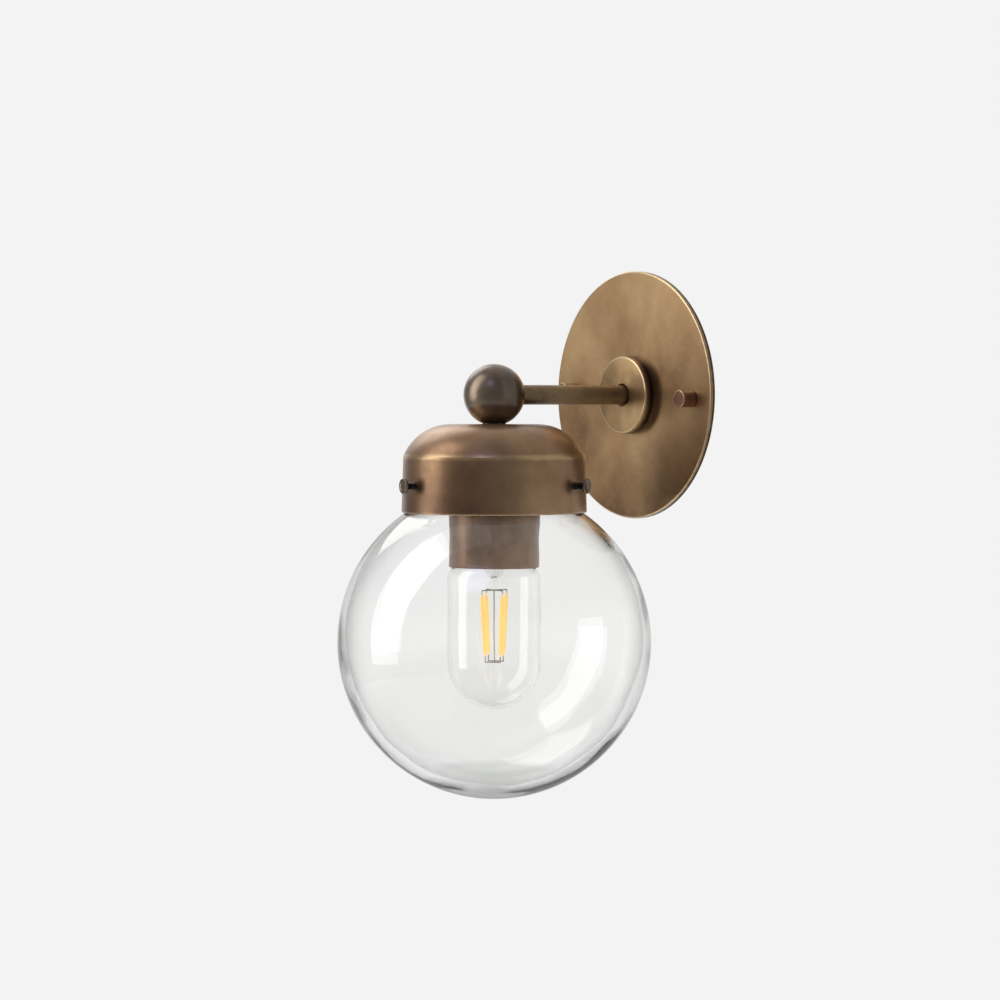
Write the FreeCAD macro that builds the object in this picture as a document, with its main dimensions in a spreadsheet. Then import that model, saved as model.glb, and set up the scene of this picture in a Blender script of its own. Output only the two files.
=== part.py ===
import FreeCAD, Part
import math
import os
import re
import Sketcher

# Globe wall sconce: a round wall plate with a short straight arm, a ball at the arm's end, and a shade
# cap that hangs from the ball and holds a clear glass globe with three screws. A tubular lamp stands in a
# brass cup inside the globe.
#
# Frame, in millimetres: the origin is the centre of the plate's back, where it meets the wall. -Y points
# out into the room, +Y into the wall and +Z up. Pieces on the wall axis are drawn along a local Z that
# points out into the room. Pieces on the lamp axis are drawn along the vertical line through the ball's
# centre, with z = 0 at that centre.

SIZES = {
    # general fits
    "thread_diameter": 8.0,
    "thread_gap": 0.05,
    "running_gap": 0.3,
    "nut_across_flats": 13.0,
    "nut_height": 3.5,
    "washer_diameter": 14.0,
    "washer_height": 0.8,
    # wall plate and boss
    "plate_diameter": 121.6,
    "plate_depth": 2.6,
    "plate_sheet": 1.2,
    "plate_edge_round": 0.8,
    "boss_diameter": 38.2,
    "boss_depth": 6.4,
    "boss_edge_round": 0.9,
    "boss_recess_diameter": 11.0,
    "boss_recess_depth": 2.0,
    # arm and ball
    "arm_reach": 86.4,
    "arm_diameter": 9.5,
    "arm_bore": 5.6,
    "arm_tail": 4.0,
    "spigot_length": 5.5,
    "ball_diameter": 29.4,
    "ball_seat_distance": 13.4,
    "ball_chamber_diameter": 17.0,
    "seat_washer_diameter": 11.4,
    "seat_washer_height": 0.6,
    # shade cap and its screws
    "cap_sheet": 1.2,
    "cap_flat_radius": 20.7,
    "cap_crease": 1.8,
    "cap_overhang": 5.4,
    "cap_flare": 0.85,
    "cap_height": 42.2,
    "cap_rim_round": 0.5,
    "screw_drop": 43.0,
    "screw_turn": -4.7,
    "screw_diameter": 3.5,
    "screw_stand": 5.3,
    "screw_head_diameter": 7.3,
    "screw_head_height": 1.3,
    "screw_point": 0.5,
    # glass globe
    "globe_diameter": 150.0,
    "globe_rim_gap": 0.4,
    "globe_wall": 3.7,
    "globe_bottom_extra": 2.0,
    "neck_diameter": 76.0,
    "neck_wall": 3.0,
    "lip_width": 3.25,
    "lip_height": 3.2,
    "lip_round": 1.2,
    # socket cup and lampholder
    "cup_diameter": 43.1,
    "cup_sheet": 1.0,
    "cup_height": 63.6,
    "cup_corner": 3.0,
    "holder_diameter": 39.6,
    "holder_corner": 4.0,
    "holder_wall": 2.2,
    "dome_height": 20.0,
    "dome_top": 3.0,
    "entry_diameter": 16.0,
    "entry_depth": 6.0,
    "core_height": 6.5,
    "skirt_height": 25.5,
    "shell_sheet": 0.5,
    "shell_height": 24.0,
    "shell_eye_diameter": 17.0,
    "contact_width": 6.0,
    "contact_sheet": 0.5,
    "post_spacing": 7.0,
    "post_diameter": 4.4,
    "post_height": 3.0,
    # lamp
    "lamp_bottom": 151.5,
    "lamp_length": 108.0,
    "lamp_diameter": 44.4,
    "lamp_shoulder": 10.0,
    "lamp_shoulder_drop": 89.5,
    "lamp_glass": 0.8,
    "lamp_neck_diameter": 24.4,
    "lamp_neck_drop": 76.5,
    "screw_cap_diameter": 26.2,
    "screw_cap_sheet": 0.4,
    "screw_cap_length": 26.5,
    "tip_diameter": 9.8,
    "tip_height": 1.5,
    "insulator_height": 3.5,
    "insulator_diameter": 23.0,
    "stem_drop": 94.0,
    "stem_rod_diameter": 3.2,
    "stem_bowl_drop": 84.0,
    "stem_bowl_radius": 4.8,
    "filament_top": 96.0,
    "filament_length": 29.7,
    "filament_diameter": 2.0,
    "filament_top_radius": 7.0,
    "filament_bottom_radius": 5.1,
    "filament_turn": -3.0,
    "lamp_wire_diameter": 0.6,
    "driver_width": 15.0,
    "driver_height": 12.0,
    "driver_board": 1.2,
    # wall bars, studs and knob nuts
    "stud_spacing": 92.6,
    "stud_diameter": 4.17,
    "stud_hole_diameter": 5.0,
    "stud_reach": 5.5,
    "hang_tilt": 2.45,
    "knob_diameter": 7.8,
    "knob_length": 7.0,
    "knob_head_diameter": 8.8,
    "knob_head_height": 0.9,
    "knob_dish_diameter": 7.0,
    "knob_dish_depth": 0.3,
    "knob_bore_depth": 6.3,
    "stud_nut_across_flats": 7.0,
    "stud_nut_height": 3.0,
    "bar_sheet": 1.6,
    "bar_recess": 3.4,
    "bar_margin": 6.5,
    "stud_bar_width": 16.0,
    "box_bar_width": 18.0,
    "box_bar_length": 108.0,
    "box_screw_spacing": 88.9,
    "slot_width": 4.6,
    "slot_length": 12.0,
    "eyelet_bore": 13.0,
    "eyelet_wall": 0.8,
    "eyelet_flange_diameter": 18.0,
    "earth_screw_height": 22.0,
    "earth_head_diameter": 7.2,
    "earth_head_height": 2.2,
    "earth_shank_diameter": 3.8,
    # supply side
    "lead_diameter": 2.0,
    "lead_spacing": 2.8,
    "block_width": 20.0,
    "block_height": 15.0,
    "block_depth": 11.0,
    "block_drop": 13.5,
    "block_pitch": 8.0,
    "block_screw_diameter": 3.4,
    "lead_entry": 4.0,
}

# Places worked out from the sizes. Each is written as an expression, so that the document keeps it.
PLACES = {
    "thread_hole": "thread_diameter / 2 + thread_gap",
    # out from the wall, along the wall axis
    "boss_front": "plate_depth + boss_depth",
    "plate_inside": "plate_depth - plate_sheet",
    "arm_back": "boss_front - boss_recess_depth",
    "arm_front": "arm_reach - ball_seat_distance",
    "nut_back": "plate_inside - washer_height - nut_height",
    # up and down the lamp axis
    "cap_top": "-ball_seat_distance - seat_washer_height",
    "cap_inside": "cap_top - cap_sheet",
    "cup_top": "cap_inside - washer_height - nut_height",
    "holder_top": "cup_top - cup_sheet",
    "nipple_top": "-ball_seat_distance + spigot_length",
    "nipple_end": "holder_top - entry_depth",
    "core_bottom": "holder_top - dome_height",
    "core_top": "core_bottom + core_height",
    "post_top": "core_top + post_height",
    "lamp_tip": "lamp_length - lamp_bottom",
    "screw_cap_end": "lamp_tip - screw_cap_length",
    "lip_bottom": "-screw_drop + screw_diameter / 2 + running_gap",
    # the shade cap, which clears the globe's neck and lip, and the globe below its rim
    "cap_shoulder": "neck_diameter / 2 + cap_overhang",
    "cap_rim": "cap_shoulder + cap_flare",
    "cap_arc": "cap_shoulder - cap_flat_radius + cap_crease",
    "cap_drop": "cap_arc - sqrt(cap_arc ^ 2 - (cap_arc - cap_crease) ^ 2)",
    "cap_slope": "cap_flare / (cap_height - cap_drop)",
    "cap_at_screw": "cap_shoulder + cap_slope * (screw_drop + cap_top - cap_drop)",
    "cap_rim_height": "cap_top - cap_height",
    "globe_rise": "sqrt((globe_diameter / 2) ^ 2 - (cap_rim - cap_sheet) ^ 2)",
    "globe_middle": "cap_rim_height - globe_rim_gap - globe_rise",
    # behind the plate
    "box_bar_front": "bar_recess + bar_sheet",
    "box_bar_back": "bar_recess + 2 * bar_sheet",
    "block_front": "box_bar_back",
}

doc = FreeCAD.newDocument("globe_wall_sconce")
sheet = doc.addObject("Spreadsheet::Sheet", "Sizes")
for row, (alias, value) in enumerate(SIZES.items(), 1):
    sheet.set("A%d" % row, alias.replace("_", " "))
    sheet.set("B%d" % row, str(value))
    sheet.setAlias("B%d" % row, alias)
doc.recompute()

finished = []


def bound(text):
    """The expression with every size and place name tied to the sheet."""

    def tie(match):
        word = match.group(0)
        if word in PLACES:
            return "(" + bound(PLACES[word]) + ")"
        return "Sizes." + word if word in SIZES else word

    return re.sub(r"[a-z][a-z_]*", tie, str(text))


def value(text):
    return float(sheet.evalExpression(bound(text)))


def point(pair):
    return FreeCAD.Vector(value(pair[0]), value(pair[1]), 0)


def finish(thing, node):
    thing.Label = node
    finished.append(thing)
    return thing


def place_on_wall_axis(thing, out=None):
    """Turns local Z to point out into the room, and may shift the piece along it."""
    thing.Placement = FreeCAD.Placement(FreeCAD.Vector(), FreeCAD.Rotation(FreeCAD.Vector(1, 0, 0), 90))
    if out is not None:
        thing.setExpression("Placement.Base.y", bound("-(" + out + ")"))


def place_on_lamp_axis(thing):
    thing.Placement = FreeCAD.Placement(FreeCAD.Vector(0, -value("arm_reach"), 0), FreeCAD.Rotation())
    thing.setExpression("Placement.Base.y", bound("-arm_reach"))


def new_sketch(body, role, name):
    sketch = body.newObject("Sketcher::SketchObject", name)
    plane = [f for f in body.Origin.OriginFeatures if f.Role == role][0]
    sketch.AttachmentSupport = [(plane, "")]
    sketch.MapMode = "FlatFace"
    return sketch


def fix_point(sketch, geometry, end, pair):
    """Ties one end of a line or arc to two expressions, measured from the sketch's origin."""
    for kind, text in zip(("DistanceX", "DistanceY"), pair):
        index = sketch.addConstraint(Sketcher.Constraint(kind, -1, 1, geometry, end, value(text)))
        if re.search("[a-z]", str(text)):
            sketch.setExpression("Constraints[%d]" % index, bound(text))


def draw_outline(sketch, outline):
    """Draws a closed outline. A corner is (x, y), reached by a line, or (x, y, radius, turn), reached by
    an arc from the corner before it. Turn is 1 where the arc runs anticlockwise and -1 where it runs
    clockwise."""
    for index, corner in enumerate(outline):
        before = outline[index - 1]
        start, end = point(before), point(corner)
        if len(corner) == 2:
            line = sketch.addGeometry(Part.LineSegment(start, end))
            fix_point(sketch, line, 1, before)
            fix_point(sketch, line, 2, corner)
            continue
        radius, turn = value(corner[2]), corner[3]
        chord = end - start
        across = FreeCAD.Vector(-chord.y, chord.x, 0).normalize()
        height = math.sqrt(max(radius**2 - (chord.Length / 2) ** 2, 0))
        centre = (start + end) / 2 + across * height * turn
        first, last = (start, end) if turn > 0 else (end, start)
        from_angle = math.atan2(first.y - centre.y, first.x - centre.x)
        to_angle = math.atan2(last.y - centre.y, last.x - centre.x)
        circle = Part.Circle(centre, FreeCAD.Vector(0, 0, 1), radius)
        arc = sketch.addGeometry(Part.ArcOfCircle(circle, from_angle, to_angle))
        fix_point(sketch, arc, 1, before if turn > 0 else corner)
        fix_point(sketch, arc, 2, corner if turn > 0 else before)
        size = sketch.addConstraint(Sketcher.Constraint("Radius", arc, radius))
        sketch.setExpression("Constraints[%d]" % size, bound(corner[2]))


def turned(node, outline, axis="V_Axis"):
    """A piece made on a lathe: its half outline, turned a full circle about the sketch's upright or level
    axis."""
    body = doc.addObject("PartDesign::Body", node + "_body")
    sketch = new_sketch(body, "XZ_Plane" if axis == "V_Axis" else "XY_Plane", node + "_outline")
    draw_outline(sketch, outline)
    turn = body.newObject("PartDesign::Revolution", node + "_turn")
    turn.Profile = sketch
    turn.ReferenceAxis = (sketch, [axis])
    turn.Angle = 360
    doc.recompute()
    return finish(body, node)


def ring(node, inner, outer, low, high):
    """A plain turned ring between two radii and two heights."""
    return turned(node, [(inner, low), (outer, low), (outer, high), (inner, high)])


def cylinder(name, radius, height, base=("0", "0", "0"), direction=None):
    thing = doc.addObject("Part::Cylinder", name)
    if direction:
        thing.Placement.Rotation = FreeCAD.Rotation(FreeCAD.Vector(0, 0, 1), FreeCAD.Vector(*direction))
    thing.setExpression("Radius", bound(radius))
    thing.setExpression("Height", bound(height))
    for letter, text in zip("xyz", base):
        thing.setExpression("Placement.Base." + letter, bound(text))
    return thing


def block(name, low, high):
    """A box between two corners given as expressions."""
    thing = doc.addObject("Part::Box", name)
    for letter, side, start, end in zip("xyz", ("Length", "Width", "Height"), low, high):
        thing.setExpression(side, bound("(" + end + ") - (" + start + ")"))
        thing.setExpression("Placement.Base." + letter, bound(start))
    return thing


def joined(name, things):
    thing = doc.addObject("Part::MultiFuse", name)
    thing.Shapes = things
    return thing


def cut(name, base, tools):
    thing = doc.addObject("Part::Cut", name)
    thing.Base = base
    thing.Tool = tools[0] if len(tools) == 1 else joined(name + "_tools", tools)
    return thing


def hexagon(name, across_flats, height, base=("0", "0", "0")):
    prism = doc.addObject("Part::Prism", name)
    prism.Polygon = 6
    prism.setExpression("Circumradius", bound("(" + across_flats + ") / sqrt(3)"))
    prism.setExpression("Height", bound(height))
    for letter, text in zip("xyz", base):
        prism.setExpression("Placement.Base." + letter, bound(text))
    return prism


def hexagon_nut(node, across_flats, height, bore, base):
    """A nut from base upward along local Z, bored through."""
    prism = hexagon(node + "_hexagon", across_flats, height, ("0", "0", base))
    hole = cylinder(node + "_hole", bore, height, ("0", "0", base))
    return finish(cut(node, prism, [hole]), node)


# Wall plate, boss and arm


def wall_plate():
    """A shallow pressed pan: its rim stands on the wall, and two holes let the studs through."""
    rim, inner = "plate_diameter / 2", "plate_diameter / 2 - plate_sheet"
    body = turned(
        "wall_plate",
        [
            ("thread_hole", "plate_depth"),
            ("thread_hole", "plate_inside"),
            (inner, "plate_inside"),
            (inner, "0"),
            (rim, "0"),
            (rim, "plate_depth - plate_edge_round"),
            (rim + " - plate_edge_round", "plate_depth", "plate_edge_round", 1),
        ],
    )
    holes = new_sketch(body, "XY_Plane", "wall_plate_holes")
    for side in ("", "-"):
        circle = holes.addGeometry(
            Part.Circle(FreeCAD.Vector(), FreeCAD.Vector(0, 0, 1), value("stud_hole_diameter / 2")),
        )
        fix_point(
            holes,
            circle,
            3,
            (side + "stud_spacing / 2 * cos(hang_tilt)", side + "-stud_spacing / 2 * sin(hang_tilt)"),
        )
        size = holes.addConstraint(Sketcher.Constraint("Radius", circle, value("stud_hole_diameter / 2")))
        holes.setExpression("Constraints[%d]" % size, bound("stud_hole_diameter / 2"))
    pocket = body.newObject("PartDesign::Pocket", "wall_plate_drill")
    pocket.Profile = holes
    pocket.Type = "ThroughAll"
    pocket.Reversed = True
    place_on_wall_axis(body)


def boss():
    """The turned boss, with a recess that the arm's shoulder seats in."""
    edge = "boss_diameter / 2"
    body = turned(
        "boss",
        [
            ("thread_hole", "plate_depth"),
            (edge, "plate_depth"),
            (edge, "boss_front - boss_edge_round"),
            (edge + " - boss_edge_round", "boss_front", "boss_edge_round", 1),
            ("boss_recess_diameter / 2", "boss_front"),
            ("boss_recess_diameter / 2", "arm_back"),
            ("thread_hole", "arm_back"),
        ],
    )
    place_on_wall_axis(body)


def arm_tube():
    """The arm: a tube whose two ends are turned down and threaded, one for the ball and one for the nut
    behind."""
    body = turned(
        "arm_tube",
        [
            ("arm_bore / 2", "-arm_tail"),
            ("thread_diameter / 2", "-arm_tail"),
            ("thread_diameter / 2", "arm_back"),
            ("arm_diameter / 2", "arm_back"),
            ("arm_diameter / 2", "arm_front"),
            ("thread_diameter / 2", "arm_front"),
            ("thread_diameter / 2", "arm_front + spigot_length"),
            ("arm_bore / 2", "arm_front + spigot_length"),
        ],
    )
    place_on_wall_axis(body)


def arm_fixings():
    """The washer and nut that clamp the boss to the plate from behind."""
    washer = ring(
        "arm_washer",
        "thread_hole",
        "washer_diameter / 2",
        "plate_inside - washer_height",
        "plate_inside",
    )
    place_on_wall_axis(washer)
    nut = hexagon_nut("arm_nut", "nut_across_flats", "nut_height", "thread_hole", "0")
    place_on_wall_axis(nut, "nut_back")


def ball():
    """A hollow brass ball with a flat seat and a threaded hole at the back for the arm and below for the
    nipple."""
    outside = doc.addObject("Part::Sphere", "ball_outside")
    outside.setExpression("Radius", bound("ball_diameter / 2"))
    chamber = doc.addObject("Part::Sphere", "ball_chamber")
    chamber.setExpression("Radius", bound("ball_chamber_diameter / 2"))
    seat_back = cylinder(
        "ball_seat_back", "ball_diameter", "ball_diameter", ("0", "ball_seat_distance", "0"), (0, 1, 0),
    )
    seat_below = cylinder(
        "ball_seat_below",
        "ball_diameter",
        "ball_diameter",
        ("0", "0", "-ball_seat_distance - ball_diameter"),
    )
    hole_back = cylinder("ball_hole_back", "thread_hole", "ball_diameter", ("0", "0", "0"), (0, 1, 0))
    hole_below = cylinder("ball_hole_below", "thread_hole", "ball_diameter", ("0", "0", "-ball_diameter"))
    tools = [chamber, seat_back, seat_below, hole_back, hole_below]
    place_on_lamp_axis(finish(cut("ball", outside, tools), "ball"))


# Shade cap and what hangs from the ball


def hanging_fixings():
    """What clamps the cap and the cup to the ball: seat washer, hollow nipple, washer and nut."""
    place_on_lamp_axis(
        ring("seat_washer", "thread_hole", "seat_washer_diameter / 2", "cap_top", "-ball_seat_distance")
    )
    place_on_lamp_axis(ring("nipple", "arm_bore / 2", "thread_diameter / 2", "nipple_end", "nipple_top"))
    place_on_lamp_axis(
        ring("cap_washer", "thread_hole", "washer_diameter / 2", "cap_inside - washer_height", "cap_inside")
    )
    place_on_lamp_axis(hexagon_nut("cap_nut", "nut_across_flats", "nut_height", "thread_hole", "cup_top"))


def shade_cap():
    """The spun cap: a flat top, a rounded shoulder with a crease, and a slightly flared wall with three
    tapped holes."""
    share = "(cap_arc - cap_sheet) / cap_arc"
    crease_x = "cap_flat_radius + (cap_shoulder - cap_flat_radius) * " + share
    crease_y = "cap_top - cap_arc + (cap_arc - cap_drop) * " + share
    body = turned(
        "shade_cap",
        [
            ("thread_hole", "cap_top"),
            ("thread_hole", "cap_inside"),
            ("cap_flat_radius", "cap_inside"),
            (crease_x, crease_y, "cap_arc - cap_sheet", -1),
            ("cap_rim - cap_sheet", "cap_rim_height"),
            ("cap_rim - cap_rim_round", "cap_rim_height"),
            ("cap_rim", "cap_rim_height + cap_rim_round", "cap_rim_round", 1),
            ("cap_shoulder", "cap_top - cap_drop"),
            ("cap_flat_radius", "cap_top", "cap_arc", 1),
        ],
    )
    hole = new_sketch(body, "XZ_Plane", "shade_cap_hole")
    circle = hole.addGeometry(
        Part.Circle(FreeCAD.Vector(), FreeCAD.Vector(0, 0, 1), value("screw_diameter / 2")),
    )
    fix_point(hole, circle, 3, ("0", "-screw_drop"))
    size = hole.addConstraint(
        Sketcher.Constraint("Radius", circle, value("screw_diameter / 2 + thread_gap")),
    )
    hole.setExpression("Constraints[%d]" % size, bound("screw_diameter / 2 + thread_gap"))
    drill = body.newObject("PartDesign::Pocket", "shade_cap_drill")
    drill.Profile = hole
    drill.setExpression("Length", bound("cap_rim + cap_sheet"))
    drill.Reversed = True
    doc.recompute()
    pattern = body.newObject("PartDesign::PolarPattern", "shade_cap_holes")
    pattern.Originals = [drill]
    pattern.Axis = ([f for f in body.Origin.OriginFeatures if f.Role == "Z_Axis"][0], [""])
    pattern.Angle = 360
    pattern.Occurrences = 3
    body.Tip = pattern
    place_on_lamp_axis(body)
    body.Placement.Rotation = FreeCAD.Rotation(FreeCAD.Vector(0, 0, 1), value("screw_turn"))
    body.setExpression("Placement.Rotation.Angle", bound("screw_turn"))


def shade_screw(node, step):
    """One of the three screws that hold the globe's neck under its lip, drawn along local X from the lamp
    axis out."""
    shank, head = "screw_diameter / 2", "screw_head_diameter / 2"
    tip, under_head = "neck_diameter / 2 + running_gap", "cap_at_screw + screw_stand"
    body = turned(
        node,
        [
            (tip, "0"),
            (under_head + " + screw_head_height", "0"),
            (under_head + " + screw_head_height", head + " - screw_point / 2"),
            (under_head + " + screw_head_height - screw_point / 2", head, "screw_point / 2", 1),
            (under_head, head),
            (under_head, shank),
            (tip + " + screw_point", shank),
            (tip, shank + " - screw_point"),
        ],
        "H_Axis",
    )
    turn = "screw_turn - 90 + %d" % step
    body.Placement = FreeCAD.Placement(
        FreeCAD.Vector(), FreeCAD.Rotation(FreeCAD.Vector(0, 0, 1), value(turn)),
    )
    body.setExpression("Placement.Rotation.Angle", bound(turn))
    body.setExpression("Placement.Base.y", bound("-arm_reach"))
    body.setExpression("Placement.Base.z", bound("-screw_drop"))


def globe():
    """The blown glass globe: thicker below, with a short neck and a rolled lip that hangs on the screws."""
    neck, neck_in = "neck_diameter / 2", "neck_diameter / 2 - neck_wall"
    lip, lip_top = neck + " + lip_width", "lip_bottom + lip_height"
    radius = "globe_diameter / 2"
    inner = radius + " - globe_wall"
    inner_centre = "globe_middle + globe_bottom_extra"
    body = turned(
        "globe",
        [
            ("0", "globe_middle - " + radius),
            (neck, "globe_middle + sqrt((" + radius + ") ^ 2 - (" + neck + ") ^ 2)", radius, 1),
            (neck, "lip_bottom"),
            (lip + " - lip_round", "lip_bottom"),
            (lip, "lip_bottom + lip_round", "lip_round", 1),
            (lip, lip_top + " - lip_round"),
            (lip + " - lip_round", lip_top, "lip_round", 1),
            (neck_in + " + lip_round", lip_top),
            (neck_in, lip_top + " - lip_round", "lip_round", 1),
            (neck_in, inner_centre + " + sqrt((" + inner + ") ^ 2 - (" + neck_in + ") ^ 2)"),
            ("0", inner_centre + " - (" + inner + ")", inner, -1),
        ],
    )
    place_on_lamp_axis(body)


def socket_cup():
    """The brass cup round the lampholder, open below."""
    wall, inner = "cup_diameter / 2", "cup_diameter / 2 - cup_sheet"
    bottom = "cup_top - cup_height"
    body = turned(
        "socket_cup",
        [
            ("thread_hole", "cup_top"),
            ("thread_hole", "holder_top"),
            (wall + " - cup_corner", "holder_top"),
            (inner, "cup_top - cup_corner", "cup_corner - cup_sheet", -1),
            (inner, bottom),
            (wall, bottom),
            (wall, "cup_top - cup_corner"),
            (wall + " - cup_corner", "cup_top", "cup_corner", 1),
        ],
    )
    place_on_lamp_axis(body)


# Lampholder


def lampholder():
    """Dome, core, skirt and screw shell of the lampholder, hung on the nipple."""
    wall, inner = "holder_diameter / 2", "holder_diameter / 2 - holder_wall"
    dome = turned(
        "holder_dome",
        [
            ("thread_hole", "holder_top"),
            ("thread_hole", "nipple_end - 1"),
            ("entry_diameter / 2", "nipple_end - 1"),
            ("entry_diameter / 2", "holder_top - dome_top"),
            (inner, "holder_top - dome_top"),
            (inner, "core_bottom"),
            (wall, "core_bottom"),
            (wall, "holder_top - holder_corner"),
            (wall + " - holder_corner", "holder_top", "holder_corner", 1),
        ],
    )
    place_on_lamp_axis(dome)
    core = cylinder(
        "holder_core", inner + " - thread_gap", "core_height", ("0", "-arm_reach", "core_bottom"),
    )
    finish(core, "holder_core")
    shell_in = "screw_cap_diameter / 2 + running_gap"
    shell_out = shell_in + " + shell_sheet"
    shell = turned(
        "screw_shell",
        [
            ("shell_eye_diameter / 2", "core_bottom"),
            ("shell_eye_diameter / 2", "core_bottom - shell_sheet"),
            (shell_in, "core_bottom - shell_sheet"),
            (shell_in, "core_bottom - shell_height"),
            (shell_out, "core_bottom - shell_height"),
            (shell_out, "core_bottom"),
        ],
    )
    place_on_lamp_axis(shell)
    skirt = ring(
        "holder_skirt", shell_out + " + thread_gap", wall, "core_bottom - skirt_height", "core_bottom",
    )
    place_on_lamp_axis(skirt)


def centre_contact():
    """The sprung tongue that meets the lamp's tip: flat under the core, then bent down to the lamp axis."""
    body = doc.addObject("PartDesign::Body", "centre_contact_body")
    sketch = new_sketch(body, "XZ_Plane", "centre_contact_outline")
    low = "lamp_tip + running_gap"
    foot = "shell_eye_diameter / 2 - 1"
    draw_outline(
        sketch,
        [
            ("-(" + foot + ")", "core_bottom"),
            ("-(" + foot + ")", "core_bottom - contact_sheet"),
            ("-contact_width / 2", "core_bottom - contact_sheet"),
            ("0", low),
            ("contact_width / 2", low),
            ("contact_width / 2", low + " + contact_sheet"),
            ("contact_sheet", low + " + contact_sheet"),
            ("contact_sheet - contact_width / 2", "core_bottom"),
        ],
    )
    pad = body.newObject("PartDesign::Pad", "centre_contact_strip")
    pad.Profile = sketch
    pad.setExpression("Length", bound("contact_width"))
    pad.Midplane = True
    doc.recompute()
    place_on_lamp_axis(finish(body, "centre_contact"))


def holder_posts():
    """Two brass posts on the core, bored to take the ends of the leads."""
    posts = []
    for name, side in (("live", ""), ("neutral", "-")):
        base = (side + "post_spacing / 2", "-arm_reach", "core_top")
        post = cylinder("post_" + name, "post_diameter / 2", "post_height", base)
        bore = cylinder("post_bore_" + name, "lead_diameter / 2 + thread_gap", "post_height", base)
        posts.append(cut("post_cut_" + name, post, [bore]))
    pair = doc.addObject("Part::Compound", "holder_posts")
    pair.Links = posts
    finish(pair, "holder_posts")


# Lamp


def lamp_envelope():
    """The clear tubular bulb: a straight side, a domed end, and a shoulder that closes in to the neck."""
    wall, neck = "lamp_diameter / 2", "lamp_neck_diameter / 2"
    low = "-lamp_bottom"
    side_low = "-lamp_bottom + lamp_diameter / 2"
    side_high = "-lamp_shoulder_drop"
    centre = wall + " - lamp_shoulder"
    inner_wall, inner_neck = wall + " - lamp_glass", neck + " - lamp_glass"
    top = "screw_cap_end + 6"
    body = turned(
        "lamp_envelope",
        [
            ("0", low),
            (wall, side_low, wall, 1),
            (wall, side_high),
            (
                centre + " + lamp_shoulder * cos(70)",
                side_high + " + lamp_shoulder * sin(70)",
                "lamp_shoulder",
                1,
            ),
            (neck, "-lamp_neck_drop"),
            (neck, top),
            (inner_neck, top),
            (inner_neck, "-lamp_neck_drop"),
            (
                centre + " + (lamp_shoulder - lamp_glass) * cos(70)",
                side_high + " + (lamp_shoulder - lamp_glass) * sin(70)",
            ),
            (inner_wall, side_high, "lamp_shoulder - lamp_glass", -1),
            (inner_wall, side_low),
            ("0", low + " + lamp_glass", inner_wall, -1),
        ],
    )
    place_on_lamp_axis(body)


def lamp_cap():
    """The lamp's screw cap with its insulator and contact tip."""
    wall, inner = "screw_cap_diameter / 2", "screw_cap_diameter / 2 - screw_cap_sheet"
    shoulder = "lamp_tip - tip_height - insulator_height"
    insulator = "insulator_diameter / 2"
    cap = turned(
        "lamp_screw_cap",
        [
            (insulator, shoulder),
            (wall, shoulder + " - 1"),
            (wall, "screw_cap_end"),
            ("lamp_neck_diameter / 2 + thread_gap", "screw_cap_end"),
            (inner, "screw_cap_end + 1"),
            (inner, shoulder + " - 1"),
            (insulator, shoulder + " - screw_cap_sheet"),
        ],
    )
    place_on_lamp_axis(cap)
    cone = turned(
        "lamp_insulator",
        [
            ("0", "lamp_tip - tip_height"),
            ("0", shoulder),
            (insulator, shoulder),
            ("tip_diameter / 2 + 1", "lamp_tip - tip_height"),
        ],
    )
    place_on_lamp_axis(cone)
    tip = turned(
        "lamp_tip",
        [
            ("0", "lamp_tip"),
            ("0", "lamp_tip - tip_height"),
            ("tip_diameter / 2", "lamp_tip - tip_height"),
            ("tip_diameter / 2 - tip_height", "lamp_tip", "tip_height", 1),
        ],
    )
    place_on_lamp_axis(tip)


def lamp_stem():
    """The glass stem: a flare sealed in the neck, a bowl where it closes, and the rod that carries the
    wires."""
    rod, bowl = "stem_rod_diameter / 2", "stem_bowl_radius"
    flare, seal = "lamp_neck_diameter / 2 - lamp_glass - thread_gap", "-lamp_neck_drop + 6"
    bowl_y = "-stem_bowl_drop"
    stem = turned(
        "lamp_stem",
        [
            ("0", "-stem_drop"),
            (rod, "-stem_drop"),
            (rod, bowl_y + " - sqrt((" + bowl + ") ^ 2 - (" + rod + ") ^ 2)"),
            (bowl, bowl_y, bowl, 1),
            (bowl, "-lamp_neck_drop"),
            (flare, seal),
            (flare + " - lamp_glass", seal),
            (bowl + " - lamp_glass", "-lamp_neck_drop + lamp_glass"),
            (bowl + " - lamp_glass", bowl_y),
            ("0", bowl_y + " - (" + bowl + " - lamp_glass)", bowl + " - lamp_glass", -1),
        ],
    )
    place_on_lamp_axis(stem)


def rod_between(start, end, radius):
    """A plain round bar from one point to another."""
    along = end - start
    return Part.makeCylinder(radius, along.Length, start, along)


def filament_ends(step):
    """The top and bottom of one of the four filaments, which lean in towards the lamp axis as they go
    down."""
    angle = math.radians(value("filament_turn") + 90 * step)
    outward = FreeCAD.Vector(math.cos(angle), math.sin(angle), 0)
    top = outward * value("filament_top_radius")
    bottom = outward * value("filament_bottom_radius")
    top.z = -value("filament_top")
    bottom.z = -value("filament_top + filament_length")
    return top, bottom


def lamp_filaments():
    """Four straight filaments in a ring, as separate solids in one node."""
    bars = []
    for step in range(4):
        top, bottom = filament_ends(step)
        bars.append(rod_between(top, bottom, value("filament_diameter / 2")))
    group = doc.addObject("Part::Feature", "lamp_filaments")
    group.Shape = Part.Compound(bars)
    place_on_lamp_axis(finish(group, "lamp_filaments"))


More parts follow.
